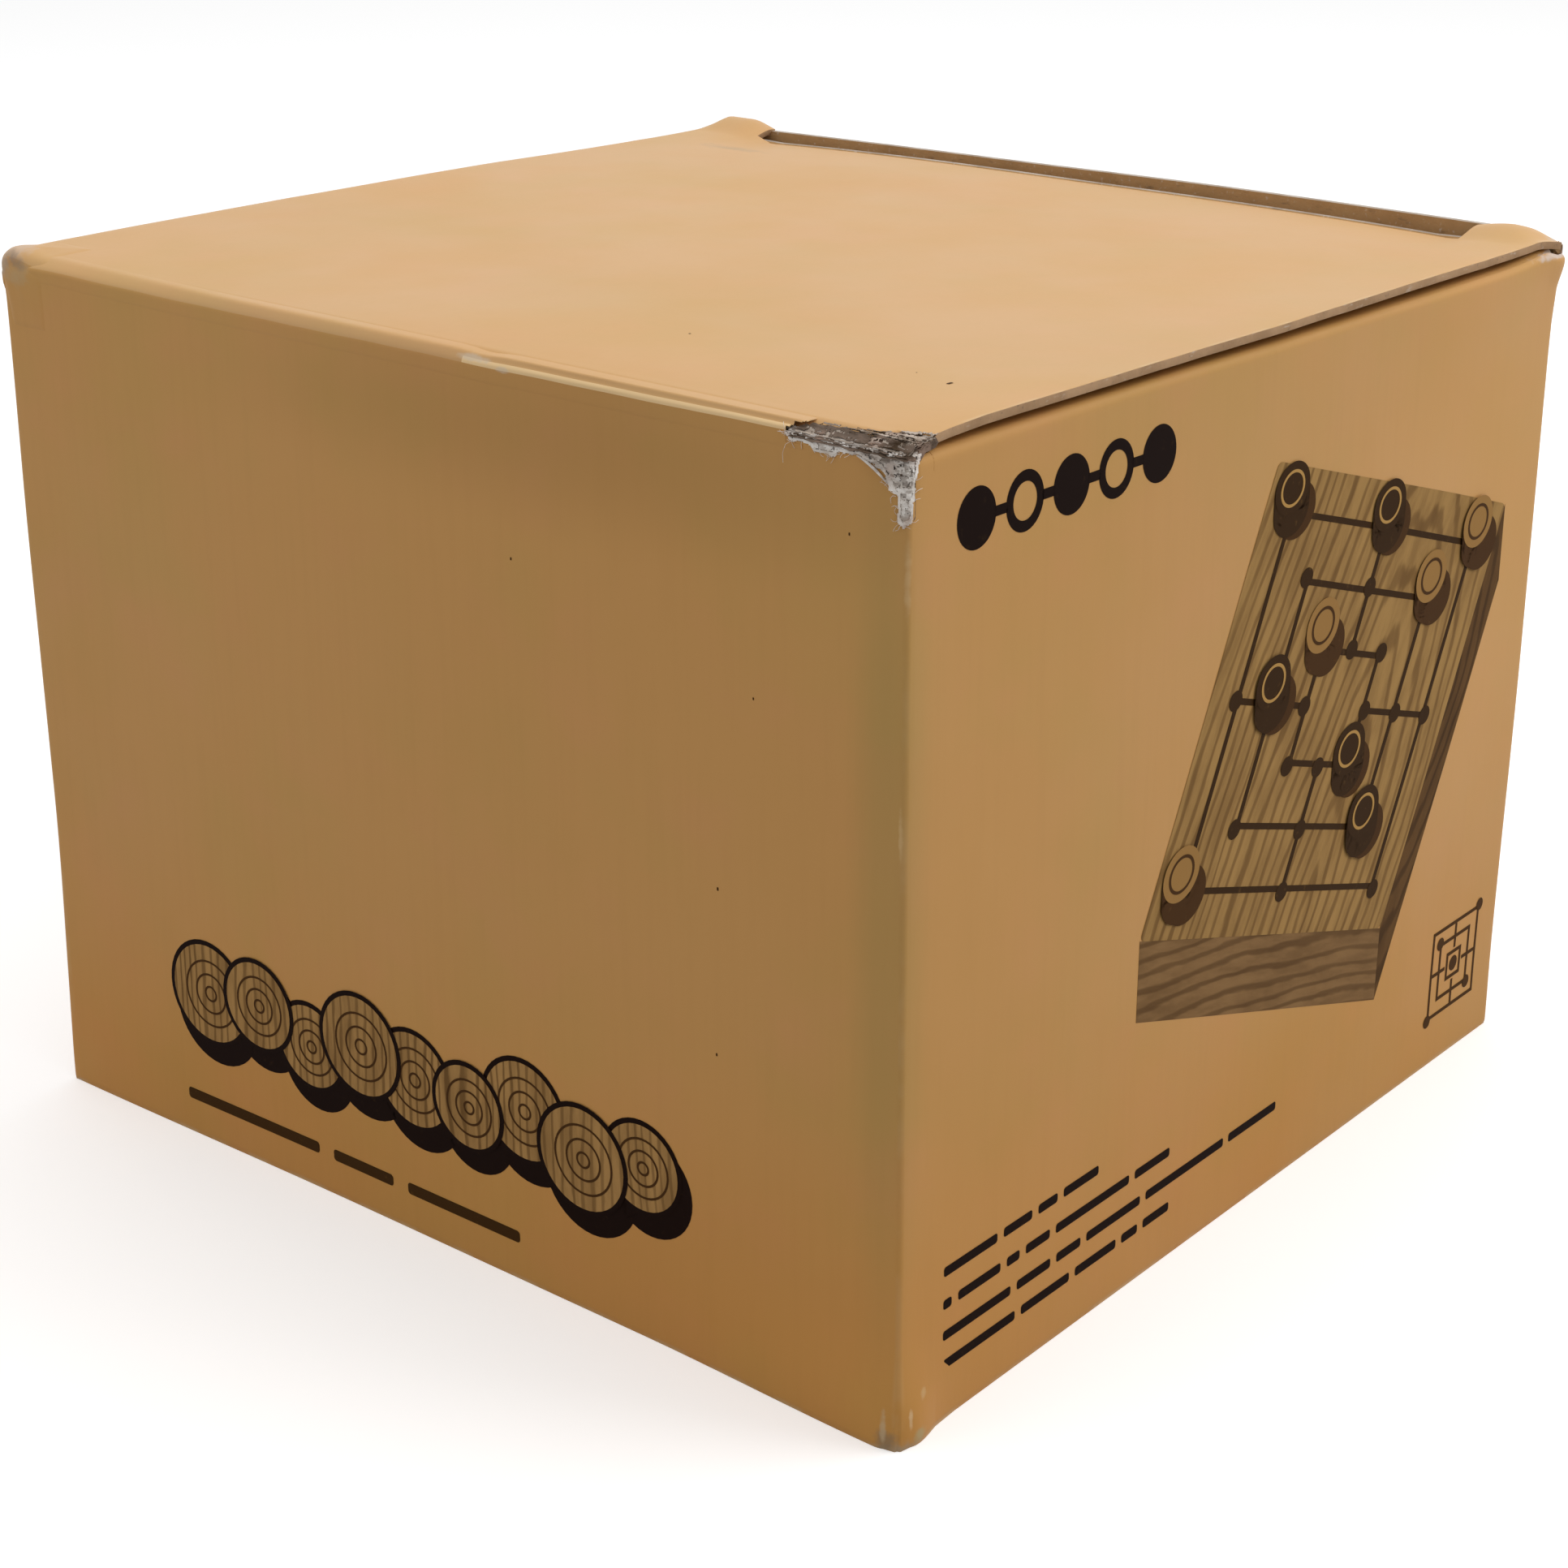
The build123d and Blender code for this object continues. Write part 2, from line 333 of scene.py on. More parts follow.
def blend_rows(front, rear, x, y):
    share = min(1.0, max(0.0, (y + HALF_Y) / (2 * HALF_Y)))
    return from_table(front, x) * (1 - share) + from_table(rear, x) * share


def lid_sag(x, y):
    """Rise of the lid over its drawn height; it sinks towards the tuck flap, most at the slits."""
    sink = (0.25 + 0.85 * min(1, abs(y) / EAR_IN) ** 3) * MM
    sink *= ramp(x, 50 * MM, TUCK_LOW.x) * (1 - ramp(abs(y), EAR_IN - 4 * MM, EAR_IN + 5 * MM))
    return blend_rows(LID_FRONT, LID_REAR, x, y) - sink + 0.1 * MM * rough((x, y, 0), 40 * MM, 2)


def fold_drop(x):
    """The lid starts to bend down before it reaches the tuck flap's crease."""
    return 0.35 * MM * ramp(x, TUCK_LOW.x - 2.2 * MM, TUCK_LOW.x + 0.6 * MM)


def flare(point):
    """Push the skin out at the corners that have been knocked and have spread."""
    moved = point.copy()
    for (side_x, side_y, height), reach, along, out_x, out_y in FLARED:
        share = 1 - ramp(abs(point.z - height * MM), 0.5 * MM, reach * MM)
        share *= 1 - ramp(HALF_X - side_x * point.x, 0, along * MM)
        share *= 1 - ramp(HALF_Y - side_y * point.y, 0, along * MM)
        moved += share * Vector((side_x * out_x, side_y * out_y, 0)) * MM
    return moved


def settle(point):
    """Where a point of the walls has got to: bowed walls, spread corners, a wavy top."""
    bow = bpy.context.scene.carton_sizes.wall_bow
    moved = flare(point)
    across = math.sin(math.pi * min(1, max(0, (point.x + HALF_X) / (2 * HALF_X))))
    along = math.sin(math.pi * min(1, max(0, (point.y + HALF_Y) / (2 * HALF_Y))))
    up = math.sin(math.pi * min(1, max(0, point.z / TOP)))
    near = 1.5 * MM
    if abs(abs(point.y) - HALF_Y) < near:
        moved.y += math.copysign(bow * across * up, point.y)
    if abs(abs(point.x) - HALF_X) < near:
        moved.x += math.copysign(bow * along * up, point.x)
    # The right wall's rim stands a little high, and its front end is crushed.
    rim = ramp(point.x, HALF_X - 6 * MM, HALF_X - 1 * MM) * ramp(point.z, 86 * MM, RIM_TOP)
    crushed = 0.75 * ramp(-point.y, HALF_Y - 7 * MM, HALF_Y)
    crushed += 0.8 * (1 - ramp(math.hypot(HALF_X - point.x, HALF_Y + point.y), 1 * MM, 5 * MM))
    moved.z += (0.55 * along + 0.35 * ramp(-point.y, -20 * MM, 30 * MM) - crushed) * MM * rim
    # The foot has spread round the near corner.
    foot = 1 - ramp(point.z, 0, 14 * MM)
    if point.x < -HALF_X + near:
        moved.x -= (0.15 + 0.8 * (1 - ramp(point.y, -HALF_Y + 4 * MM, -HALF_Y + 40 * MM))) * MM * foot
    if point.y < -HALF_Y + near:
        moved.y -= (0.1 + 0.85 * (1 - ramp(point.x, -HALF_X + 3 * MM, -HALF_X + 9 * MM))) * MM * foot
    # There it is stubbed to a wider round.
    stub = 3 * MM
    round_off = Vector((point.x + HALF_X - stub, point.y + HALF_Y - stub))
    if max(round_off) < 0:
        pull = round_off * (1 + min(round_off) / round_off.length) * (1 - ramp(point.z, 0, 9 * MM))
        moved.x -= pull.x
        moved.y -= pull.y
    # The right corner leans out towards its top, and the far left one towards its foot.
    front_right = ramp(point.x, 15 * MM, HALF_X) * ramp(-point.y, 15 * MM, HALF_Y)
    spread = (0.35 * ramp(point.z, 10 * MM, 60 * MM) + 0.35 * ramp(point.z, 106 * MM, 117 * MM)) * MM * front_right
    moved.y -= spread
    moved.x += 0.5 * spread
    rear_left = ramp(-point.x, 15 * MM, HALF_X) * ramp(point.y, 15 * MM, HALF_Y)
    spread = (0.3 + 0.85 * (1 - ramp(point.z, 0, 45 * MM))) * MM * rear_left
    below_top = 1 - ramp(point.z, 80 * MM, 115 * MM)
    moved.y += spread * below_top
    moved.x -= 0.6 * spread * below_top
    moved.z += blend_rows(WALL_FRONT, WALL_REAR, point.x, point.y) * ramp(point.z, 86 * MM, DUST_TOP)
    return moved


def inside(outline, a, b):
    """Distance in mm from (a, b) to an outline, positive inside it."""
    nearest = 1e9
    within = False
    for (x1, y1), (x2, y2) in zip(outline, outline[1:] + outline[:1]):
        dx, dy = x2 - x1, y2 - y1
        t = min(1, max(0, ((a - x1) * dx + (b - y1) * dy) / (dx * dx + dy * dy)))
        nearest = min(nearest, math.hypot(x1 + t * dx - a, y1 + t * dy - b))
        if (y1 > b) != (y2 > b) and a < x1 + (b - y1) * dx / dy:
            within = not within
    return nearest if within else -nearest


def tear_depth(outline, a, b, seed=0.0):
    """Ragged distance into a tear: a and b in mm on its outline."""
    point = (a, b, seed)
    ragged = 0.32 * rough(point, 1.3) + 0.18 * rough(point, 0.5, 4)
    return inside(outline, a, b) + ragged


# ---------------------------------------------------------------- nodes and materials
def add(tree, kind, inputs=None, **settings):
    """One node with its settings, values and links."""
    made = tree.nodes.new(kind)
    for key, value in settings.items():
        setattr(made, key, value)
    for key, value in (inputs or {}).items():
        if isinstance(value, bpy.types.NodeSocket):
            tree.links.new(value, made.inputs[key])
        else:
            made.inputs[key].default_value = value
    return made


def new_material(name, roughness=0.5, specular=0.5):
    material = bpy.data.materials.new(name)
    material.use_nodes = True
    tree = material.node_tree
    shader = tree.nodes["Principled BSDF"]
    shader.inputs["Roughness"].default_value = roughness
    shader.inputs["Specular IOR Level"].default_value = specular
    return material, tree, add(tree, "ShaderNodeTexCoord").outputs["Object"]


def surfaced(material, colour, height, depth, strength):
    """Give the material its colour and a relief of a depth in mm, and hand it back."""
    tree = material.node_tree
    shader = tree.nodes["Principled BSDF"]
    relief = add(tree, "ShaderNodeBump", {"Height": height, "Distance": depth * MM, "Strength": strength})
    tree.links.new(colour, shader.inputs["Base Color"])
    tree.links.new(relief.outputs[0], shader.inputs["Normal"])
    return material


def pattern(tree, place, size, detail, stretch=None, roughness=0.55):
    """Cloudy pattern with features of a size in mm, squeezed along an axis if asked."""
    if stretch:
        place = add(tree, "ShaderNodeMapping", {"Vector": place, "Scale": stretch}).outputs[0]
    inputs = {"Vector": place, "Scale": 1 / (size * MM), "Detail": detail, "Roughness": roughness}
    return add(tree, "ShaderNodeTexNoise", inputs).outputs["Fac"]


def over(tree, colour, code, mask, strength=1.0, blend="MIX"):
    """A hex colour laid over another, as far as the mask and the strength let it show."""
    if strength != 1:
        mask = add(tree, "ShaderNodeMath", {0: mask, 1: strength}, operation="MULTIPLY").outputs[0]
    inputs = {0: mask, 6: colour, 7: linear(code)}
    return add(tree, "ShaderNodeMix", inputs, data_type="RGBA", blend_type=blend).outputs[2]


def over_where(tree, colour, code, value, low, high, strength=1.0, blend="MIX"):
    """The same, coming up softly as a value runs from low to high."""
    inputs = {"Value": value, "From Min": low, "From Max": high}
    mask = add(tree, "ShaderNodeMapRange", inputs, interpolation_type="SMOOTHSTEP").outputs[0]
    return over(tree, colour, code, mask, strength, blend)


def spot(tree, place, centre, size, ragged, core):
    """1 inside an ellipsoid given in mm, 0 outside, with a ragged rim that starts at its core."""
    inputs = {"Vector": place, "Location": [c * MM for c in centre], "Scale": [s * MM for s in size]}
    local = add(tree, "ShaderNodeMapping", inputs, vector_type="TEXTURE").outputs[0]
    distance = add(tree, "ShaderNodeVectorMath", {0: local}, operation="LENGTH").outputs["Value"]
    reach = add(tree, "ShaderNodeMath", {0: distance, 1: ragged}, operation="ADD").outputs[0]
    inputs = {"Value": reach, "From Min": 1.25, "From Max": core}
    return add(tree, "ShaderNodeMapRange", inputs, interpolation_type="SMOOTHSTEP").outputs[0]


def rubbed_edges(tree, place):
    """1 where two faces of the box meet, in broken lengths; an upright fold is rubbed less."""
    x, y, z = add(tree, "ShaderNodeSeparateXYZ", {0: place}).outputs
    out_x = add(tree, "ShaderNodeMath", {0: x}, operation="ABSOLUTE").outputs[0]
    out_y = add(tree, "ShaderNodeMath", {0: y}, operation="ABSOLUTE").outputs[0]
    parts = {}
    for name, value, start, end in (
        ("side_x", out_x, HALF_X - 1.0 * MM, HALF_X - 0.2 * MM),
        ("side_y", out_y, HALF_Y - 0.8 * MM, HALF_Y - 0.3 * MM),
        ("top", z, TOP - 1.6 * MM, TOP - 1.0 * MM),
        ("foot", z, 0.8 * MM, 0.2 * MM),
        ("broken", pattern(tree, place, 6, 4), 0.4, 0.62),
    ):
        inputs = {"Value": value, "From Min": start, "From Max": end}
        parts[name] = add(tree, "ShaderNodeMapRange", inputs, interpolation_type="SMOOTHSTEP").outputs[0]
    # Each step joins two parts and names what it makes.
    for name, operation, first, second in (
        ("fold", "MULTIPLY", "side_x", "side_y"),
        ("fold", "MULTIPLY", "fold", 0.3),
        ("ends", "MAXIMUM", "top", "foot"),
        ("ends", "MULTIPLY", "ends", "side_y"),
        ("edge", "MAXIMUM", "fold", "ends"),
        ("foot", "MULTIPLY", "foot", "side_x"),
        ("edge", "MAXIMUM", "edge", "foot"),
        ("edge", "MULTIPLY", "edge", "broken"),
    ):
        inputs = {0: parts[first], 1: parts.get(second, second)}
        parts[name] = add(tree, "ShaderNodeMath", inputs, operation=operation).outputs[0]
    return parts["edge"]


def printed_board(name, specular, faded, pale="#E8C596"):
    """Coated solid board, printed ochre: satin, a little blotchy, pale or grey where worn through; painted shade and
    sheen.
    """
    material, tree, place = new_material(name, 0.5, specular)
    colour = tuple(bpy.context.scene.carton_colours.ochre) + (1.0,)
    # Uneven ink, handling and fine upright streaks: colour, size, detail, stretch, where it shows, strength.
    for code, size, detail, stretch, low, high, strength in (
        ("#C4A05A", 30, 3, None, 0.4, 0.7, 0.32),
        ("#D29A62", 18, 3, (1, 1, 1.3), 0.48, 0.75, 0.45),
        ("#B88A4C", 60, 4, None, 0.4, 0.8, 0.2),
        ("#A87C40", 1.4, 3, (1, 1, 0.06), 0.4, 0.8, 0.05),
    ):
        colour = over_where(tree, colour, code, pattern(tree, place, size, detail, stretch), low, high, strength)
    # Painted shade: the print is darkened and warmed towards the foot, from 55 mm down to 6 mm.
    height = add(tree, "ShaderNodeSeparateXYZ", {0: place}).outputs[2]
    colour = over_where(tree, colour, "#FFF0D2", height, 55 * MM, 6 * MM, 0.8, "MULTIPLY")
    # Paled by a share of the pale colour: rubbed wear on the bead, painted sheen on the lid.
    colour = over(tree, colour, pale, faded)
    # A darker olive band runs down the upright near fold, and the other edges are rubbed pale.
    colour = over(tree, colour, "#93884E", spot(tree, place, (-73, -72.5, 70), (5, 5, 60), 0.0, 0.2), 0.3)
    colour = over(tree, colour, "#DCC096", rubbed_edges(tree, place), 0.4)
    ragged = add(tree, "ShaderNodeMath", {0: pattern(tree, place, 1.6, 4), 1: 0.5}, operation="SUBTRACT").outputs[0]
    ragged = add(tree, "ShaderNodeMath", {0: ragged, 1: 1.6}, operation="MULTIPLY").outputs[0]
    # Tired patches, bruises, scuffs and painted light: centre, half size, colour, strength, and where the soft rim
    # starts.
    marks = (
        # A darker band along the top of the left wall.
        ((-74.5, -30, 113), (2.2, 75, 13), "#7A5A2C", 0.4, 0.1),
        # Painted light: a paler warm patch where the light falls on the front's right half.
        ((62, -76, 75), (48, 4, 75), "#E2AC6C", 0.4, 0.1),
        ((-71.5, 73.4, 121.4), (2.4, 3.0, 1.7), "#D2B69C", 0.8, 0.5),
        ((-73.3, 74.6, 119.7), (1.1, 1.8, 1.6), "#B7A08A", 0.75, 0.4),
        ((-73.1, 71.4, 118.7), (1, 2.6, 1.7), "#C4A880", 0.6, 0.2),
        ((-72.4, 73.0, 120.9), (1.5, 1.3, 0.9), "#967E68", 0.6, 0.3),
        ((-72.6, 72.0, 120.3), (1.5, 1.5, 0.9), "#917964", 0.6, 0.3),
        ((-72.8, 71.0, 119.8), (1.4, 1.4, 0.8), "#9A836A", 0.55, 0.2),
        ((-72.8, -12.5, 119.9), (0.9, 2.8, 0.42), "#D8C8B2", 0.6, 0.5),
        ((-73, -17.2, 119.3), (0.8, 1.1, 0.35), "#D8C8B2", 0.5, 0.5),
        ((-72.8, -75, 0.1), (3.2, 3.2, 1.3), "#BBA88E", 0.7, 0.2),
        ((-73.4, -73.6, 1.1), (2.0, 1.5, 1.7), "#8F7B62", 0.7, 0.3),
        ((-73, -73.3, 2.8), (1.4, 0.45, 2.6), "#D2B892", 0.65, 0.4),
        ((-71.3, -75, 3.6), (0.35, 1.4, 1.6), "#E6C598", 0.75, 0.4),
        # Painted highlight: a pale spot for a small highlight on the foot.
        ((-68.9, -75, 6.1), (0.6, 1.4, 1.0), "#DDB884", 0.6, 0.3),
        ((-69.8, -75.6, 1.2), (1.2, 1.4, 0.9), "#B9AC82", 0.65, 0.3),
        ((-72.9, -75, 106), (0.5, 0.5, 5), "#E0BE8C", 0.5, 0.3),
        ((-73.1, -74.4, 77), (0.4, 0.3, 3.4), "#DDBB88", 0.5, 0.3),
        ((71.6, -75.2, 116.9), (5.0, 1.4, 0.6), "#DCCABC", 0.9, 0.6),
        ((73.3, -75.2, 118.3), (2.2, 2.2, 1.3), "#CDB79E", 0.55, 0.3),
        ((73, -75, 0), (1.2, 1.2, 0.9), "#C2AE96", 0.5, 0.6),
        ((-73, 75, 0), (1.0, 1.0, 0.8), "#C2AE96", 0.4, 0.6),
        ((73, 75, 0), (2, 2, 2), "#C2AE96", 0.5, 0.4),
        ((73, 75, 118), (2.5, 2.5, 2), "#B9AB9B", 0.6, 0.4),
        ((56.5, 59, 119.8), (2.4, 6.5, 4), "#8C7F6C", 0.3, 0.1),
    )
    for centre, size, code, strength, core in marks:
        rim = 0.0 if max(size) > 10 else ragged
        colour = over(tree, colour, code, spot(tree, place, centre, size, rim, core), strength)
    # Satin, with duller and glossier patches.
    inputs = {"Value": pattern(tree, place, 40, 3), "From Min": 0.3, "From Max": 0.8}
    patches = add(tree, "ShaderNodeMapRange", inputs, interpolation_type="SMOOTHSTEP").outputs[0]
    satin = add(tree, "ShaderNodeMapRange", {"Value": patches, "To Min": 0.42, "To Max": 0.56}).outputs[0]
    tree.links.new(satin, tree.nodes["Principled BSDF"].inputs["Roughness"])
    # The board's fine tooth on its slow waves.
    tooth = pattern(tree, place, 0.9, 4, (1, 1, 0.35))
    tooth = add(tree, "ShaderNodeMath", {0: tooth, 1: 0.05}, operation="MULTIPLY").outputs[0]
    relief = add(tree, "ShaderNodeMath", {0: tooth, 1: pattern(tree, place, 24, 2)}, operation="ADD").outputs[0]
    return surfaced(material, colour, relief, 0.5, 0.5)


def grey_board(name, light, dark):
    """Uncoated recycled solid board: warm grey pulp with darker and paler fibres."""
    material, tree, place = new_material(name, 0.85, 0.3)
    colour = over_where(tree, linear(light), dark, pattern(tree, place, 6, 4), 0.3, 0.75)
    for code, size, stretch in (("#6B5B4C", 0.8, (1, 0.3, 1)), ("#D2C8BC", 0.7, (0.3, 1, 1))):
        colour = over_where(tree, colour, code, pattern(tree, place, size, 3, stretch), 0.6, 0.75, 0.5)
    return surfaced(material, colour, pattern(tree, place, 0.7, 5), 0.12, 0.7)


def torn_board(name, light, dark, clefts=0.6):
    """Split plies of solid board: felted pulp, pale on the raised fibres, with painted shade in the clefts."""
    material, tree, place = new_material(name, 0.95, 0.15)
    fibre = pattern(tree, place, 1.6, 5, (1, 0.4, 1.0), 0.6)
    cleft = pattern(tree, place, 2.4, 3, (1, 0.3, 1.4), 0.5)
    colour = over_where(tree, linear(dark), light, fibre, 0.34, 0.6)
    # Painted shade darkens the clefts.
    colour = over_where(tree, colour, "#4E3D30", cleft, 0.42, 0.34, clefts)
    colour = over_where(tree, colour, "#C9A896", pattern(tree, place, 3, 2), 0.5, 0.7, 0.3)
    deep = add(tree, "ShaderNodeMath", {0: cleft, 1: 0.8}, operation="MULTIPLY").outputs[0]
    relief = add(tree, "ShaderNodeMath", {0: fibre, 1: deep}, operation="ADD").outputs[0]
    return surfaced(material, colour, relief, 0.35, 0.9)


def ink(name, code, cover=0.94):
    """Offset ink on coated board: flat brown-black that lets a little of the ochre through."""
    material, tree, place = new_material(name, 0.6, 0.03)
    colour = over_where(tree, linear(code), "#B08448", pattern(tree, place, 1.2, 4), 0.6, 0.8, 1 - cover)
    return surfaced(material, colour, pattern(tree, place, 0.9, 3), 0.02, 0.4)


def printed_wood(name, light, dark, turn=0.0, spacing=1.8, heart=None):
    """A printed picture of planed wood: brown grain lines a spacing in mm apart, in long arcs round a heart."""
    material, tree, place = new_material(name, 0.6, 0.03)
    centre = [c * MM for c in heart] if heart else (0, 0, 0)
    inputs = {"Vector": place, "Location": centre, "Rotation": (0, turn, 0), "Scale": (4.5, 1, 1)}
    along = add(tree, "ShaderNodeMapping", inputs, vector_type="TEXTURE").outputs[0]
    lines_per_metre = math.pi / (10 * spacing * MM)
    inputs = {"Vector": along, "Scale": lines_per_metre, "Distortion": 15, "Detail": 5, "Detail Scale": 0.45}
    kind = {"wave_type": "RINGS", "rings_direction": "Y"} if heart else {"bands_direction": "Y"}
    wave = add(tree, "ShaderNodeTexWave", inputs, **kind).outputs["Fac"]
    colour = over_where(tree, linear(light), dark, pattern(tree, along, 3.5, 5, None, 0.65), 0.35, 0.7, 0.4)
    inputs = {"Value": pattern(tree, along, 9, 3), "To Min": 0.2, "To Max": 0.9}
    strength = add(tree, "ShaderNodeMapRange", inputs).outputs[0]
    colour = over_where(tree, colour, dark, wave, 0.55, 0.98, strength)
    return surfaced(material, colour, pattern(tree, place, 0.9, 3), 0.02, 0.4)


def turned_wood(name, early, late, along=2, ring=2.6, roughness=0.45):
    """Planed or turned timber, waxed: growth bands along the grain and fine pores."""
    material, tree, place = new_material(name, roughness)
    grain = pattern(tree, place, ring * 4, 4, [0.07 if axis == along else 1.0 for axis in range(3)])
    bands = add(tree, "ShaderNodeMath", {0: grain, 1: 55.0}, operation="MULTIPLY").outputs[0]
    bands = add(tree, "ShaderNodeMath", {0: bands}, operation="SINE").outputs[0]
    pores = pattern(tree, place, 0.5, 2, [0.05 if axis == along else 1.0 for axis in range(3)])
    colour = over_where(tree, linear(early), late, bands, -0.6, 1.0)
    colour = over_where(tree, colour, late, pores, 0.6, 0.72, 0.5, "MULTIPLY")
    return surfaced(material, colour, pores, 0.08, 0.5)


def leaflet_paper():
    """Uncoated offset paper, off-white, with a soft fibre cloud."""
    material, tree, place = new_material("uncoated_paper", 0.8, 0.3)
    colour = over_where(tree, linear("#E9E4D6"), "#DED7C4", pattern(tree, place, 4, 4), 0.3, 0.75)
    return surfaced(material, colour, pattern(tree, place, 0.5, 4), 0.04, 0.5)


STUFF = {}


def stuff(name):
    if not STUFF:
        STUFF.update(
            print=printed_board("coated_solid_board_ochre", 0.12, 0.0),
            # lid_print is the print paled with painted sheen, for the lit top of the lid.
            lid_print=printed_board("coated_solid_board_ochre_faded", 0.25, 0.24),
            bead_print=printed_board("coated_solid_board_ochre_rubbed", 0.2, 0.9, "#FFDCA6"),
            # The inner board's warm brown is its own brown-grey with painted bounce light from the ochre print.
            inner=grey_board("uncoated_solid_board_brown", "#BC9769", "#B08B5E"),
            cut=grey_board("cut_edge_solid_board", "#C3B6A8", "#A39383"),
            lid_cut=grey_board("cut_edge_lid", "#BC9874", "#A3815F"),
            torn=torn_board("torn_solid_board_fibre", "#E0D8D0", "#A99D92", 0.4),
            torn_mid=torn_board("torn_solid_board_ply", "#B4A9A0", "#7C6F64", 0.5),
            torn_lid=torn_board("torn_solid_board_lid_fibre", "#C4B6A8", "#7E6C5C"),
            # The torn core is grey board darkened with painted shade for the hollows of the tears.
            torn_dark=torn_board("torn_solid_board_core", "#7C6B5E", "#40301F"),
            torn_pale=torn_board("torn_paper_lip", "#FBF6F0", "#D6CBC0", 0.25),
            ink=ink("offset_ink_brown_black", "#140602", 0.97),
            soft_ink=ink("offset_ink_dark_olive", "#40290F", 0.88),
            sepia=ink("offset_ink_sepia", "#4A3017", 0.9),
            dark_man=ink("offset_ink_picture_dark", "#38240F", 0.85),
            light_man=ink("offset_ink_picture_light", "#A47C48", 0.9),
            glint=ink("offset_ink_picture_glint", "#BE9456", 0.9),
            top_grain=printed_wood("printed_picture_of_oak", "#B08A54", "#5E4022", -1.05, 2.3, (14, -75, 38)),
            face_grain=printed_wood("printed_picture_of_oak_edge", "#93714A", "#4A3018", 0.31, 2.0, (30, -75, 12)),
            end_grain=printed_wood("printed_picture_of_oak_end", "#6A4C2C", "#34210F", -1.13, 1.8, (52, -75, 60)),
            disc=printed_wood("printed_picture_of_log", "#B98F58", "#5A3E20", 1.57, 1.5),
            paper=leaflet_paper(),
            block=turned_wood("planed_beech", "#B98A57", "#96663A", 0),
            peg=turned_wood("beech_dowel", "#C79B66", "#A9784A", 2, 1.5),
            light_ball=turned_wood("turned_maple_waxed", "#D9B27C", "#BE9158", 2, 1.8, 0.35),
            dark_ball=turned_wood("turned_beech_stained_dark", "#4A2A18", "#2A160C", 2, 1.8, 0.35),
        )
    return STUFF[name]


def board_of(*names):
    return [stuff(name) for name in names]


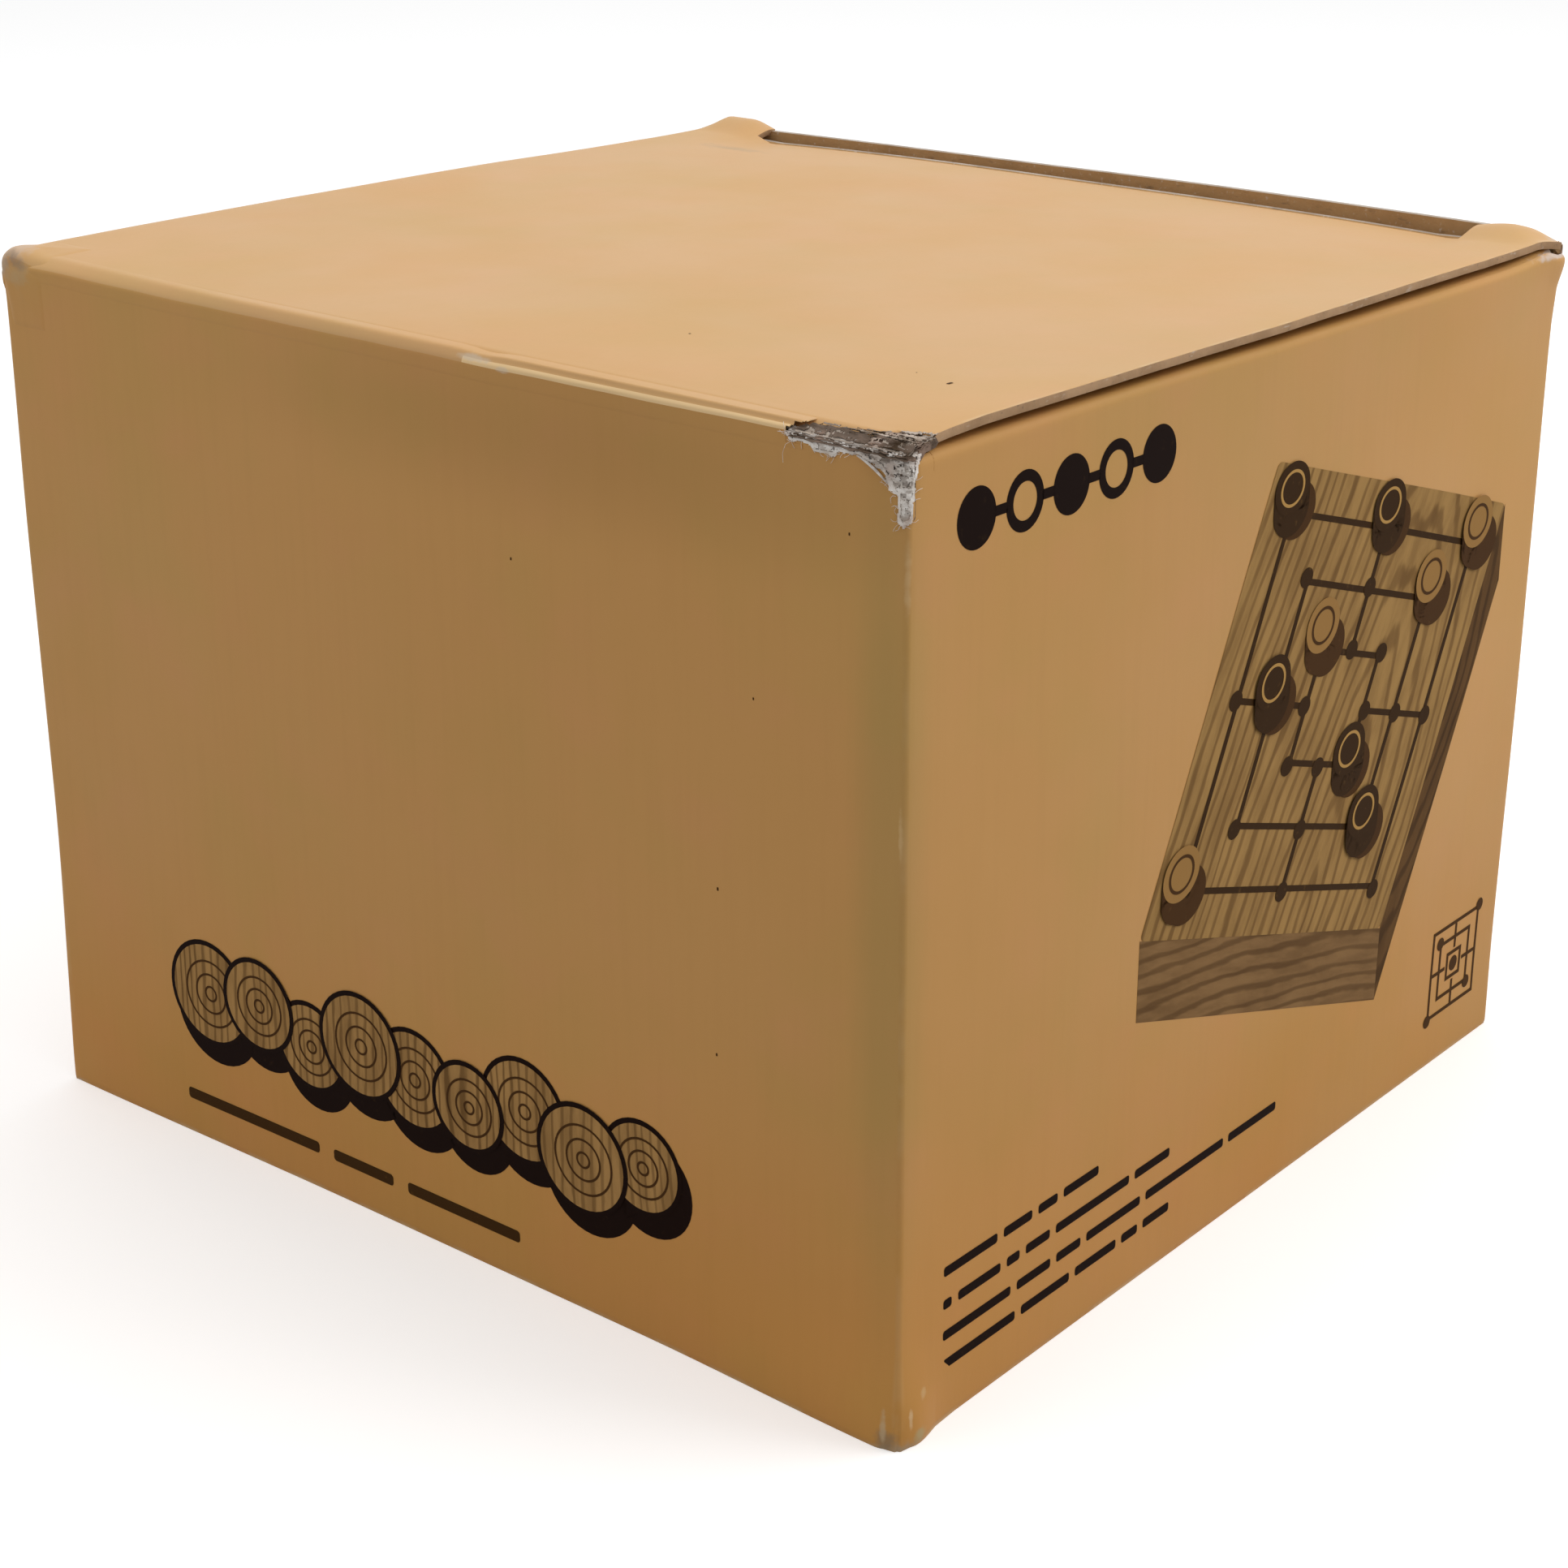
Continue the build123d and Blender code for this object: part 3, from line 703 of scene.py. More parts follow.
# ---------------------------------------------------------------- the carton
class CARTON_OT_sleeve(bpy.types.Operator):
    """Fold the four walls from one sheet, with rounded upright folds and worn corners"""

    bl_idname = "carton.sleeve"
    bl_label = "Walls"

    def execute(self, context):
        sizes = context.scene.carton_sizes
        deselect_all()
        bpy.ops.mesh.primitive_plane_add(size=1)
        piece = named("printed_walls")
        piece.scale = (2 * HALF_X, 2 * HALF_Y, 1)
        bpy.ops.object.transform_apply(location=True, rotation=True, scale=True)
        edit(piece)
        bpy.ops.mesh.bevel(affect="VERTICES", offset=sizes.fold_radius * 0.586, segments=5)
        bpy.ops.mesh.select_all(action="SELECT")
        bpy.ops.mesh.delete(type="ONLY_FACE")
        bpy.ops.mesh.select_all(action="SELECT")
        bpy.ops.mesh.extrude_edges_move(TRANSFORM_OT_translate={"value": (0, 0, TOP)})
        fold = sizes.fold_radius + 0.3 * MM
        near = [fold + 0.5 * MM * i for i in range(12)]
        inner = near[-1]
        cut_lines(0, [side * (HALF_X - d) for side in (-1, 1) for d in near])
        cut_lines(0, spaced(-HALF_X + inner, HALF_X - inner, sizes.grid_step))
        torn = [-HALF_Y + fold + 0.35 * MM * i for i in range(50)]
        cut_lines(1, torn + [HALF_Y - d for d in near])
        cut_lines(1, spaced(torn[-1], HALF_Y - inner, sizes.grid_step))
        fine = [TOP - 0.35 * MM * i for i in range(1, 34)]
        low = [0.25 * MM, 0.5 * MM] + [1 * MM + 0.6 * MM * i for i in range(10)]
        cut_lines(2, low + spaced(low[-1], fine[-1], sizes.grid_step) + fine + [DUST_TOP, RIM_TOP])
        pick(piece, "faces", lambda at: at.x > -HALF_X + 0.05 * MM
             and at.z > (RIM_TOP if at.x > HALF_X - 0.05 * MM else DUST_TOP))
        bpy.ops.mesh.delete(type="FACE")
        bpy.ops.mesh.select_all(action="SELECT")
        bpy.ops.mesh.normals_make_consistent(inside=False)
        finish_edit()
        give(piece, *board_of("print", "inner", "cut", "torn_dark"))
        depth = {}
        for vertex in piece.data.vertices:
            point = vertex.co.copy()
            moved = settle(point)
            on_left = point.x < -HALF_X + SKIN
            depth[vertex.index] = self.tear(point)
            if depth[vertex.index] > 0:
                inward = Vector((1, 0, 0)) if on_left else Vector((0, 1, 0))
                if on_left and point.y < -HALF_Y + SKIN:
                    inward = Vector((0.7, 0.7, 0))
                moved += inward * (0.5 * MM * min(1, depth[vertex.index] / 0.3))
            # The foot turns in to the bottom flaps, and the front and rear tops to the dust flaps.
            turn = 0.12 * MM * ramp(0.6 * MM - point.z, 0, 0.6 * MM)
            if abs(point.y) > HALF_Y - SKIN:
                rise = point.z - (DUST_TOP - DUST_FOLD)
                if rise > 0 and point.x > -HALF_X + SKIN:
                    turn += DUST_FOLD - math.sqrt(max(0, DUST_FOLD**2 - rise**2))
                moved.y -= math.copysign(turn, point.y)
            else:
                moved.x -= math.copysign(turn, point.x)
            # The left wall's top leans in under the lid's crease.
            rise = (point.z - (TOP - 1.5 * MM)) / (1.5 * MM)
            if rise > 0 and on_left:
                moved.z -= 0.95 * MM * rise
                moved.x += 0.3 * MM * rise**2
            vertex.co = moved
        for face in piece.data.polygons:
            if all(depth[i] > 0 for i in face.vertices):
                face.material_index = 3
        thicken(piece, BOARD)
        smooth(piece, 40)
        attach(piece, "carton")
        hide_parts("wall_left", "wall_front", "wall_right", "wall_back")
        return {"FINISHED"}

    @staticmethod
    def tear(point):
        """Depth in mm into the tear, 0 or less on sound print."""
        along, down = (point.y + HALF_Y) / MM, (TOP - point.z) / MM
        if down > 10 or along > 18 or point.x > -HALF_X + 3 * MM:
            return -1
        if point.y < -HALF_Y + 0.35 * MM:
            along = -(point.x + HALF_X) / MM * 0.75
        return tear_depth(WALL_TEAR, along, down)


def bent_strip(name, width, length, shape, step, outward, bodies, start, end, keep=None, slots=None):
    """A flat strip of printed skin bent over a crease; shape turns (across, along) into its place."""
    piece = flat_grid(name, width, length, step)
    if keep:
        cut_away(piece, lambda at: not keep(at.x, at.y))
    flat = [(face.center.x, face.center.y) for face in piece.data.polygons]
    for vertex in piece.data.vertices:
        vertex.co = shape(vertex.co.x, vertex.co.y)
    facing = sum((face.normal * face.area for face in piece.data.polygons), Vector())
    if facing.dot(Vector(outward)) < 0:
        turn_over(piece)
    give(piece, *board_of("print", "inner", "print", "lid_print", "bead_print"))
    for face, (across, along) in zip(piece.data.polygons, flat):
        face.material_index = slots(across, along) if slots else 0
    thicken(piece, PRINT_SKIN)
    smooth(piece, 60)
    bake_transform(piece)


def softened(curve, across, reach):
    """Mean of a bent line around a place, which rounds its corners."""
    total = Vector((0.0, 0.0))
    for share in (-1, -0.5, 0, 0.5, 1):
        total += Vector(curve(across + share * reach))
    return total / 5


class CARTON_OT_lid(bpy.types.Operator):
    """Make the lid with its ears, the tuck flap and the creases that join them"""

    bl_idname = "carton.lid"
    bl_label = "Lid and tuck flap"

    def execute(self, context):
        self.sizes = context.scene.carton_sizes
        self.panel()
        self.tuck_flap()
        self.rear_crease()
        self.tuck_crease()
        return {"FINISHED"}

    def ear(self, x, y):
        """Rise of the lid's two ears, which ride up beside the slits and drop at the corner."""
        if abs(y) < EAR_IN - 0.01 * MM:
            return 0.0
        corner, end = HALF_Y - abs(y), LID_HIGH.x
        if y < 0:
            lift = self.sizes.near_ear_lift * (0.25 + 0.75 * ramp(corner, 0.4 * MM, 4.5 * MM))
            lift *= ramp(x, end - 9 * MM, end - 2.2 * MM)
            return lift - 0.5 * MM * ramp(x, end - 2 * MM, end + 1 * MM) - MM * self.nose(x, y)
        lift = self.sizes.far_ear_lift * ramp(corner, -0.6 * MM, 2 * MM)
        lift *= 1 - 0.38 * ramp(corner, 6.5 * MM, 12 * MM)
        lift *= ramp(x, end - 7.5 * MM, end - 1 * MM)
        return lift - 0.2 * MM * ramp(x, end - 1.5 * MM, end + 1 * MM)

    @staticmethod
    def nose(x, y):
        """1 at the lid's front corner by the tuck flap, which has been bent down over the wall."""
        return 1 - ramp(math.hypot(LID_HIGH.x - x, HALF_Y + y), 0, 6.5 * MM)

    @staticmethod
    def torn(x, y):
        """Depth in mm into the lid's tear, 0 or less on sound print."""
        if x > -HALF_X + 7 * MM or y > -HALF_Y + 18 * MM:
            return -1
        return tear_depth(LID_TEAR, (y + HALF_Y) / MM, (x + HALF_X) / MM, LID_TEAR_SEED)

    def panel(self):
        deselect_all()
        middle = ((LID_LOW.x + LID_HIGH.x) / 2, 0, TOP)
        bpy.ops.mesh.primitive_plane_add(size=1, location=middle)
        piece = named("printed_lid")
        piece.scale = (LID_HIGH.x - LID_LOW.x, 2 * LID_HIGH.y, 1)
        bpy.ops.object.transform_apply(location=True, rotation=True, scale=True)
        edit(piece)
        pick(piece, "verts", lambda at: at.x > 0 and at.y > 0)
        bpy.ops.mesh.bevel(affect="VERTICES", offset=1.8 * MM, segments=5)
        pick(piece, "verts", lambda at: at.x > 0 and at.y < -LID_HIGH.y + 0.1 * MM)
        bpy.ops.mesh.bevel(affect="VERTICES", offset=1.7 * MM, segments=5)
        edge = LID_HIGH.y
        fold = TUCK_LOW.x - 0.15 * MM
        torn = [-edge + 0.3 * MM * i for i in range(1, 58)]
        ears = spaced(EAR_IN, edge, 0.8 * MM)
        cut_lines(1, torn + spaced(torn[-1], EAR_IN, 3 * MM) + [-EAR_IN, EAR_IN] + ears + [-y for y in ears])
        hinge = [LID_LOW.x + 0.3 * MM * i for i in range(1, 22)]
        cut_lines(0, hinge + spaced(hinge[-1], 58 * MM, 3 * MM) + spaced(58 * MM, fold, 0.6 * MM) + [fold])
        cut_lines(0, spaced(fold, LID_HIGH.x, 0.5 * MM))
        pick(piece, "faces", lambda at: at.x > fold and abs(at.y) < EAR_IN)
        bpy.ops.mesh.delete(type="FACE")
        finish_edit()
        # The torn floor of the lid takes the dark core, with its painted shade.
        pulp = ("torn_dark", "torn_dark", "torn_dark")
        give(piece, *board_of("lid_print", "inner", "lid_cut", *pulp, "bead_print"))
        for face in piece.data.polygons:
            if self.torn(face.center.x, face.center.y) > 0.2:
                face.material_index = 3
        for vertex in piece.data.vertices:
            x, y, z = vertex.co
            z += lid_sag(x, y) + self.ear(x, y)
            z -= 0.9 * MM * (1 - ramp(x, LID_LOW.x, LID_LOW.x + 1.6 * MM))
            if abs(y) < EAR_IN:
                z -= fold_drop(x)
            z -= 0.45 * MM * min(1, max(0, self.torn(x, y) / 0.3))
            # The long edges are not cut quite straight any more.
            if abs(y) > edge - 0.1 * MM:
                y += math.copysign(0.3 * MM + 0.12 * MM * rough((x, 0, 0), 5 * MM, 6), y)
            nose = self.nose(x, y) ** 2 * MM
            vertex.co = flare(Vector((x + 0.8 * nose, y - 0.4 * nose, z)))
        thicken(piece, BOARD)
        # The rubbed edge shows as a pale line.
        rounding = {"width": 0.14 * MM, "segments": 2, "limit_method": "ANGLE", "angle_limit": math.radians(60)}
        modify(piece, "BEVEL", material=6, **rounding)
        smooth(piece, 40)
        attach(piece, "lid")
        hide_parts("lid_panel")

    def tuck_flap(self):
        piece = node_copy("tuck_flap", "printed_tuck_flap")
        give(piece, *board_of("print", "inner", "cut"))
        sides_of_board(piece, (1, 0, 0))
        edit(piece)
        cut_lines(1, spaced(-TUCK_HIGH.y, TUCK_HIGH.y, 4 * MM))
        finish_edit()
        for vertex in piece.data.vertices:
            vertex.co.z += lid_sag(TUCK_LOW.x, vertex.co.y) * ramp(vertex.co.z, 112 * MM, 119 * MM)
        smooth(piece, 40)
        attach(piece, "tuck_flap")
        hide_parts("tuck_flap")

    def rear_crease(self):
        """The long crease: a soft slope at the rear, and a groove over a rubbed bead by the near corner."""
        length = LID_HIGH.y + HALF_Y - 14 * MM
        middle = LID_HIGH.y - length / 2
        half = 0.65 * MM

        def beaded(y):
            return ramp(-y, 2 * MM, 26 * MM)

        def shape(across, along):
            y = middle + along
            low = from_table(CREASE_LOW, y) + 0.12 * MM * rough((0, y, 0), 9 * MM, 3)
            start = from_table(CREASE_IN, y)
            high = TOP + lid_sag(-HALF_X + start, y)

            def profile(a):
                if a < -half:
                    return (-HALF_X, low + a + half)
                share = min(1, (a + half) / (2 * half))
                return (-HALF_X + start * share + max(0, a - half), low + (high - low) * share)

            x, z = softened(profile, across, 0.42 * MM - 0.2 * MM * beaded(y))
            # A bead stands 0.14 mm out beside a groove 0.13 mm deep.
            out = 0.14 * math.exp(-(((across / MM + 0.38) / 0.24) ** 2))
            out -= 0.13 * math.exp(-(((across / MM - 0.28) / 0.3) ** 2))
            out *= MM * beaded(y) * (1 + 0.5 * rough((y, 0, 0), 5 * MM, 8))
            on_lid = ramp(across, -half, half)
            point = settle(Vector((-HALF_X, y, min(z, TOP))))
            point.z = z + 0.5 * out + on_lid * 0.06 * MM
            point.z += on_lid * (lid_sag(max(x, LID_LOW.x), y) - lid_sag(-HALF_X + start, y))
            point.x += x + HALF_X - 0.85 * out - 0.04 * MM * (1 - on_lid)
            # Both edges sink, one into the lid and one into the wall.
            point.z -= 0.13 * MM * ramp(across, 1.3 * MM, 3.2 * MM)
            point.x += 0.12 * MM * ramp(-across, 2.3 * MM, 3.1 * MM)
            # The rear end is crushed round; a dent lies near the middle.
            crush = 2.2 * MM
            end = max(0, y - HALF_Y + crush)
            point.z -= crush - math.sqrt(max(0, crush**2 - end**2))
            point.z -= 0.2 * MM * math.exp(-(((y / MM + 13.5) / 2.6) ** 2)) * on_lid
            return point

        def keep(across, along):
            along, across = (middle + along + HALF_Y) / MM, across / MM
            on_lid = tear_depth(LID_TEAR, along, across - 0.2, LID_TEAR_SEED)
            return tear_depth(WALL_TEAR, along, 0.05 - across) < 0 and on_lid < 0

        def slots(across, along):
            y = middle + along
            rubbed = beaded(y) > 0.4 + 0.3 * rough((0, y, 0), 7 * MM, 5)
            if across < -half - (0.12 * MM if rubbed else 0):
                return 0
            return 4 if rubbed and across < -0.02 * MM + 0.12 * MM * rough((0, y, 0), 3 * MM, 1) else 3

        hinge = Vector((-HALF_X + BOARD / 2, 0, TOP - BOARD / 2))
        out = Vector((0.4 * MM, 0, 0))
        bent_strip(
            "lid_crease", 6.4 * MM, length, shape, 0.25 * MM, (-1, 0, 1), ("carton", "lid"),
            hinge - out, hinge + out, keep, slots,
        )

    def tuck_crease(self):
        middle_x = (TUCK_LOW.x + TUCK_HIGH.x) / 2
        radius = BOARD / 2 + 0.06 * MM
        flat, half = 1.8 * MM, 2.5 * MM

        def shape(across, along):
            turn = max(0, min(math.pi / 2, (across + half - flat) / radius))
            x, z = middle_x + radius * math.sin(turn), TOP - BOARD / 2 + radius * math.cos(turn)
            if across < flat - half:
                x += across + half - flat
            z -= max(0, across + half - flat - radius * math.pi / 2)
            z -= 0.16 * MM * ramp(-across, 1.7 * MM, 2.4 * MM)
            return Vector((x, along, z + lid_sag(x, along) - fold_drop(x)))

        hinge = Vector((middle_x, 0, TOP - BOARD / 2))
        start, end = hinge + Vector((-0.4 * MM, 0, 0)), hinge + Vector((0.4 * MM, 0, -0.6 * MM))
        bent_strip(
            "tuck_crease", 2 * half, 2 * TUCK_HIGH.y, shape, 0.4 * MM, (1, 0, 1), ("lid", "tuck_flap"), start, end,
            None, lambda across, along: 3 if across < -0.3 * MM else 0,
        )


class CARTON_OT_dust_flaps(bpy.types.Operator):
    """Make the two dust flaps and their creases"""

    bl_idname = "carton.dust_flaps"
    bl_label = "Dust flaps"

    def execute(self, context):
        for node, side in (("dust_flap_front", -1), ("dust_flap_back", 1)):
            low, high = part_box(node)
            piece = node_copy(node, "printed_" + node)
            give(piece, *board_of("print", "inner", "cut"))
            sides_of_board(piece, (0, 0, 1))
            edit(piece)
            cut_lines(0, spaced(low.x, high.x, 4 * MM))
            cut_lines(1, spaced(low.y, high.y, 3 * MM))
            finish_edit()
            for vertex in piece.data.vertices:
                vertex.co.z += self.drop(vertex.co.x, vertex.co.y)
            smooth(piece, 40)
            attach(piece, node)
            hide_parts(node)

            def shape(across, along, side=side, middle=(low.x + high.x) / 2):
                radius, down, clear = DUST_FOLD, 0.9 * MM, 0.02 * MM
                angle = max(0, min(math.pi / 2, (across + down) / radius))
                out = HALF_Y - radius + radius * math.cos(angle) + clear
                z = DUST_TOP - radius + radius * math.sin(angle) + clear
                if across < -down:
                    z += across + down
                elif across > radius * math.pi / 2 - down:
                    out -= across + down - radius * math.pi / 2
                x = middle + along
                return Vector((x, side * out, z + self.drop(x, side * out)))

            hinge = Vector((0, side * (HALF_Y - BOARD / 2), DUST_TOP - BOARD / 2))
            out = Vector((0, side * 0.3 * MM, 0))
            length = high.x - low.x - 0.6 * MM
            ends = (hinge + out, hinge - 2 * out)
            bent_strip(node + "_crease", 3.6 * MM, length, shape, 0.45 * MM, (0, side, 1), ("carton", node), *ends)
        return {"FINISHED"}

    @staticmethod
    def drop(x, y):
        """The flap hangs from the wall's wavy top and runs under the lid."""
        wall = blend_rows(WALL_FRONT, WALL_REAR, x, y)
        inward = HALF_Y - abs(y)
        share = ramp(inward, 0.5 * MM, 9 * MM)
        return wall * (1 - share) + min(wall, lid_sag(x, y)) * share


class CARTON_OT_bottom(bpy.types.Operator):
    """Dress the locked bottom flaps and the glued seam flap"""

    bl_idname = "carton.bottom"
    bl_label = "Bottom and seam"

    def execute(self, context):
        bottom = ("bottom_tongue_flap", "bottom_slot_flap", "bottom_side_flap_left", "bottom_side_flap_right")
        for node in (*bottom, "glue_flap"):
            piece = node_copy(node, "board_" + node)
            give(piece, *board_of("print", "inner", "cut"))
            sides_of_board(piece, (0, 0, -1) if node in bottom else (0, 1, 0))
            modify(piece, "BEVEL", width=0.08 * MM, segments=2, limit_method="ANGLE", angle_limit=math.radians(60))
            smooth(piece, 40)
            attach(piece, "carton")
            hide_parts(node)
        return {"FINISHED"}


class CARTON_OT_tear(bpy.types.Operator):
    """Build the torn near corner: split grey plies, pale lips, loose fibres and a curl of print"""

    bl_idname = "carton.tear"
    bl_label = "Torn corner"

    def execute(self, context):
        self.step = context.scene.carton_sizes.ply_step
        wall = self.layers("torn_wall_plies", WALL_TEAR, (-2.2, 17, -0.7, 9.4), self.on_wall, (
            (-0.42, -0.05, None, "torn_mid", (1, 1), -1),
            (-0.2, 0.05, 0.16, "torn", (0.45, 1), 0.75),
            (-0.03, 0.1, -0.02, "torn", (0.5, 1), 0.85),
            (0.06, 0.2, -0.16, "torn_pale", (0.6, 1), 0.95),
        ))
        wall += [self.lip(), self.curl(), self.hairs()]
        self.join("torn_wall_corner", wall, "carton")
        lid = self.layers("torn_lid_plies", LID_TEAR, (-0.4, 16.8, -0.5, 5.2), self.on_lid, (
            (-0.85, -0.1, None, "torn_dark", (0.3, 1), -1),
            (-0.55, 0.1, 0.25, "torn_dark", (0.3, 1), -1),
            (-0.3, 0.2, 0.02, "torn_lid", (0.3, 1), -1),
            (-0.1, 0.1, -0.1, "torn_dark", (0.3, 1), -1),
            (0.02, -0.12, -0.12, "torn_lid", (0.3, 1), 1.2),
        ))
        self.join("torn_lid_corner", lid, "lid")
        return {"FINISHED"}

    @staticmethod
    def on_wall(along, down, out):
        """Place on the wall's skin, round the upright fold and over the top edge."""
        radius = 0.9
        if along > radius:
            x, y, nx, ny = 0.0, along, -1.0, 0.0
        elif along > -radius:
            angle = (radius - along) / (2 * radius) * math.pi / 2
            x, y = radius * (1 - math.cos(angle)), radius * (1 - math.sin(angle))
            nx, ny = -math.cos(angle), -math.sin(angle)
        else:
            x, y, nx, ny = (-along - radius) / 0.75 + radius, 0.0, 0.0, -1.0
        z, nz = -down, 0.0
        if down < 0.8:
            angle = min(1.4, (0.8 - down) / 0.8)
            z = -0.8 + 0.8 * math.sin(angle)
            x += 0.8 * (1 - math.cos(angle)) * -nx
            y += 0.8 * (1 - math.cos(angle)) * -ny
            nz = math.sin(angle)
            nx *= math.cos(angle)
            ny *= math.cos(angle)
        point = Vector((x + nx * out, y + ny * out, z + nz * out)) * MM
        return point + Vector((-HALF_X, -HALF_Y, TOP))

    @staticmethod
    def on_lid(along, across, out):
        x, y = -HALF_X + across * MM, -HALF_Y + along * MM
        # Deeper plies stick out further over the crease than the top ones.
        back = 0.75 * max(0.0, 1 + out) if across < 1.2 else 0.0
        x += back * MM * max(0.0, 1 - max(0, across) / 1.2)
        droop = -0.7 * (1 - ramp(across, -0.6, 1.0))
        return Vector((x, max(y, -HALF_Y + 0.05 * MM), TOP + lid_sag(max(x, -HALF_X), y) + (out + droop) * MM))

    def layers(self, name, outline, window, place, specs):
        low_a, high_a, low_b, high_b = window
        made = []
        for number, (out, margin, hole, material, stretch, lowest) in enumerate(specs):
            piece = flat_grid(f"{name}_{number}", (high_a - low_a) * MM, (high_b - low_b) * MM, self.step)
            centre = Vector(((low_a + high_a) / 2, (low_b + high_b) / 2))

            def kept(at):
                a, b = at.x / MM + centre.x, at.y / MM + centre.y
                floor = lowest + 0.35 * rough((a, number, 0), 0.8)
                if b < floor or tear_depth(outline, a, b, number * 3.1) < margin:
                    return False
                fibre = rough((a * stretch[0], b * stretch[1], number * 5), 0.55)
                fibre += 0.5 * rough((a, b, number * 7), 0.25)
                return hole is None or fibre < hole + 0.25

            cut_away(piece, lambda at: not kept(at))
            for vertex in piece.data.vertices:
                a, b = vertex.co.x / MM + centre.x, vertex.co.y / MM + centre.y
                fibre = 0.16 * rough((a * stretch[0], b * stretch[1], number * 2), 0.5)
                fibre += 0.08 * rough((a * stretch[0], b, number), 0.2)
                vertex.co = place(a, b, out + fibre)
            give(piece, stuff(material))
            if piece.data.polygons:
                modify(piece, "SOLIDIFY", thickness=0.07 * MM, offset=0)
                made.append(piece)
            else:
                bpy.data.objects.remove(piece)
        return made

    def lip(self):
        """The pale raw edge of the print all round the tear."""
        piece = flat_grid("torn_lip", 19.4 * MM, 10 * MM, self.step)
        middle_a, middle_b = 7.4, 4.3

        def near_edge(at):
            a, b = at.x / MM + middle_a, at.y / MM + middle_b
            depth = tear_depth(WALL_TEAR, a, b)
            width = 0.3 + 0.3 * rough((a, b, 1), 1.2)
            return b > 0.95 and -0.1 < depth < width

        cut_away(piece, lambda at: not near_edge(at))
        for vertex in piece.data.vertices:
            a, b = vertex.co.x / MM + middle_a, vertex.co.y / MM + middle_b
            lift = 0.13 + 0.1 * rough((a, b, 2), 0.9)
            vertex.co = self.on_wall(a, b, lift)
        give(piece, stuff("torn_pale"))
        modify(piece, "SOLIDIFY", thickness=0.12 * MM, offset=-1)
        return piece

    def curl(self):
        """A sliver of print that has peeled up and rolled back."""
        start, end = Vector((6.6, 1.9)), Vector((2.7, 4.1))
        run = end - start
        across = Vector((-run.y, run.x)).normalized()
        piece = flat_grid("peeled_print", 1, 1, 0.05)
        for vertex in piece.data.vertices:
            a, b = vertex.co.x + 0.5, vertex.co.y + 0.5
            width = 1.15 * math.sin(math.pi * min(1, a * 0.95 + 0.05)) ** 0.7
            angle = 1.9 * b
            flat = start + run * a + across * (width * 0.62 * math.sin(angle) * 0.9 - 0.25)
            vertex.co = self.on_wall(flat.x, flat.y, 0.04 + width * 0.42 * (1 - math.cos(angle)))
        give(piece, *board_of("print", "torn_pale", "torn_pale"))
        edit(piece)
        bpy.ops.mesh.normals_make_consistent(inside=False)
        finish_edit()
        if sum(face.normal.x for face in piece.data.polygons) > 0:
            turn_over(piece)
        thicken(piece, 0.12 * MM)
        return piece

    def hairs(self):
        """Loose fibres on the lips, and one long one curling off the far end of the tear."""
        curve = bpy.data.curves.new("loose_fibres", "CURVE")
        curve.dimensions = "3D"
        curve.bevel_depth = 0.022 * MM
        curve.bevel_resolution = 1
        hairs = 70
        paths = [[(15.2, 1.7, 0.15), (15.9, 2.2, 0.5), (16.3, 3.2, 0.5), (16.4, 4.3, 0.3)]]
        for index in range(hairs):
            value = [0.5 + 0.5 * rough((index * 3.7, 1.3, k * 9.1), 1.0) for k in range(6)]
            place = 1 + index / hairs * (len(WALL_TEAR) - 3)
            first, second = WALL_TEAR[int(place)], WALL_TEAR[int(place) + 1]
            share = place - int(place)
            a = first[0] * (1 - share) + second[0] * share + 0.6 * (value[0] - 0.5)
            b = max(0.9, first[1] * (1 - share) + second[1] * share + 0.6 * (value[1] - 0.5))
            reach = 0.5 + 0.9 * value[2]
            turn = 6.3 * value[3] * 2
            path = []
            for step in range(4):
                along = reach * step / 3
                bend = turn + 1.6 * (value[4] - 0.5) * step
                out = 0.1 + 0.25 * value[5] * step / 3
                path.append((a + along * math.cos(bend), b + along * math.sin(bend) * 0.8, out))
            paths.append(path)
        for path in paths:
            spline = curve.splines.new("POLY")
            spline.points.add(len(path) - 1)
            for point, at in zip(spline.points, path):
                point.co = (*self.on_wall(*at), 1)
        activate(put("loose_fibres", curve))
        bpy.ops.object.convert(target="MESH")
        return give(bpy.context.object, stuff("torn_pale"))

    @staticmethod
    def join(name, parts, body):
        piece = joined(name, parts)
        smooth(piece, 50)
        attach(piece, body)


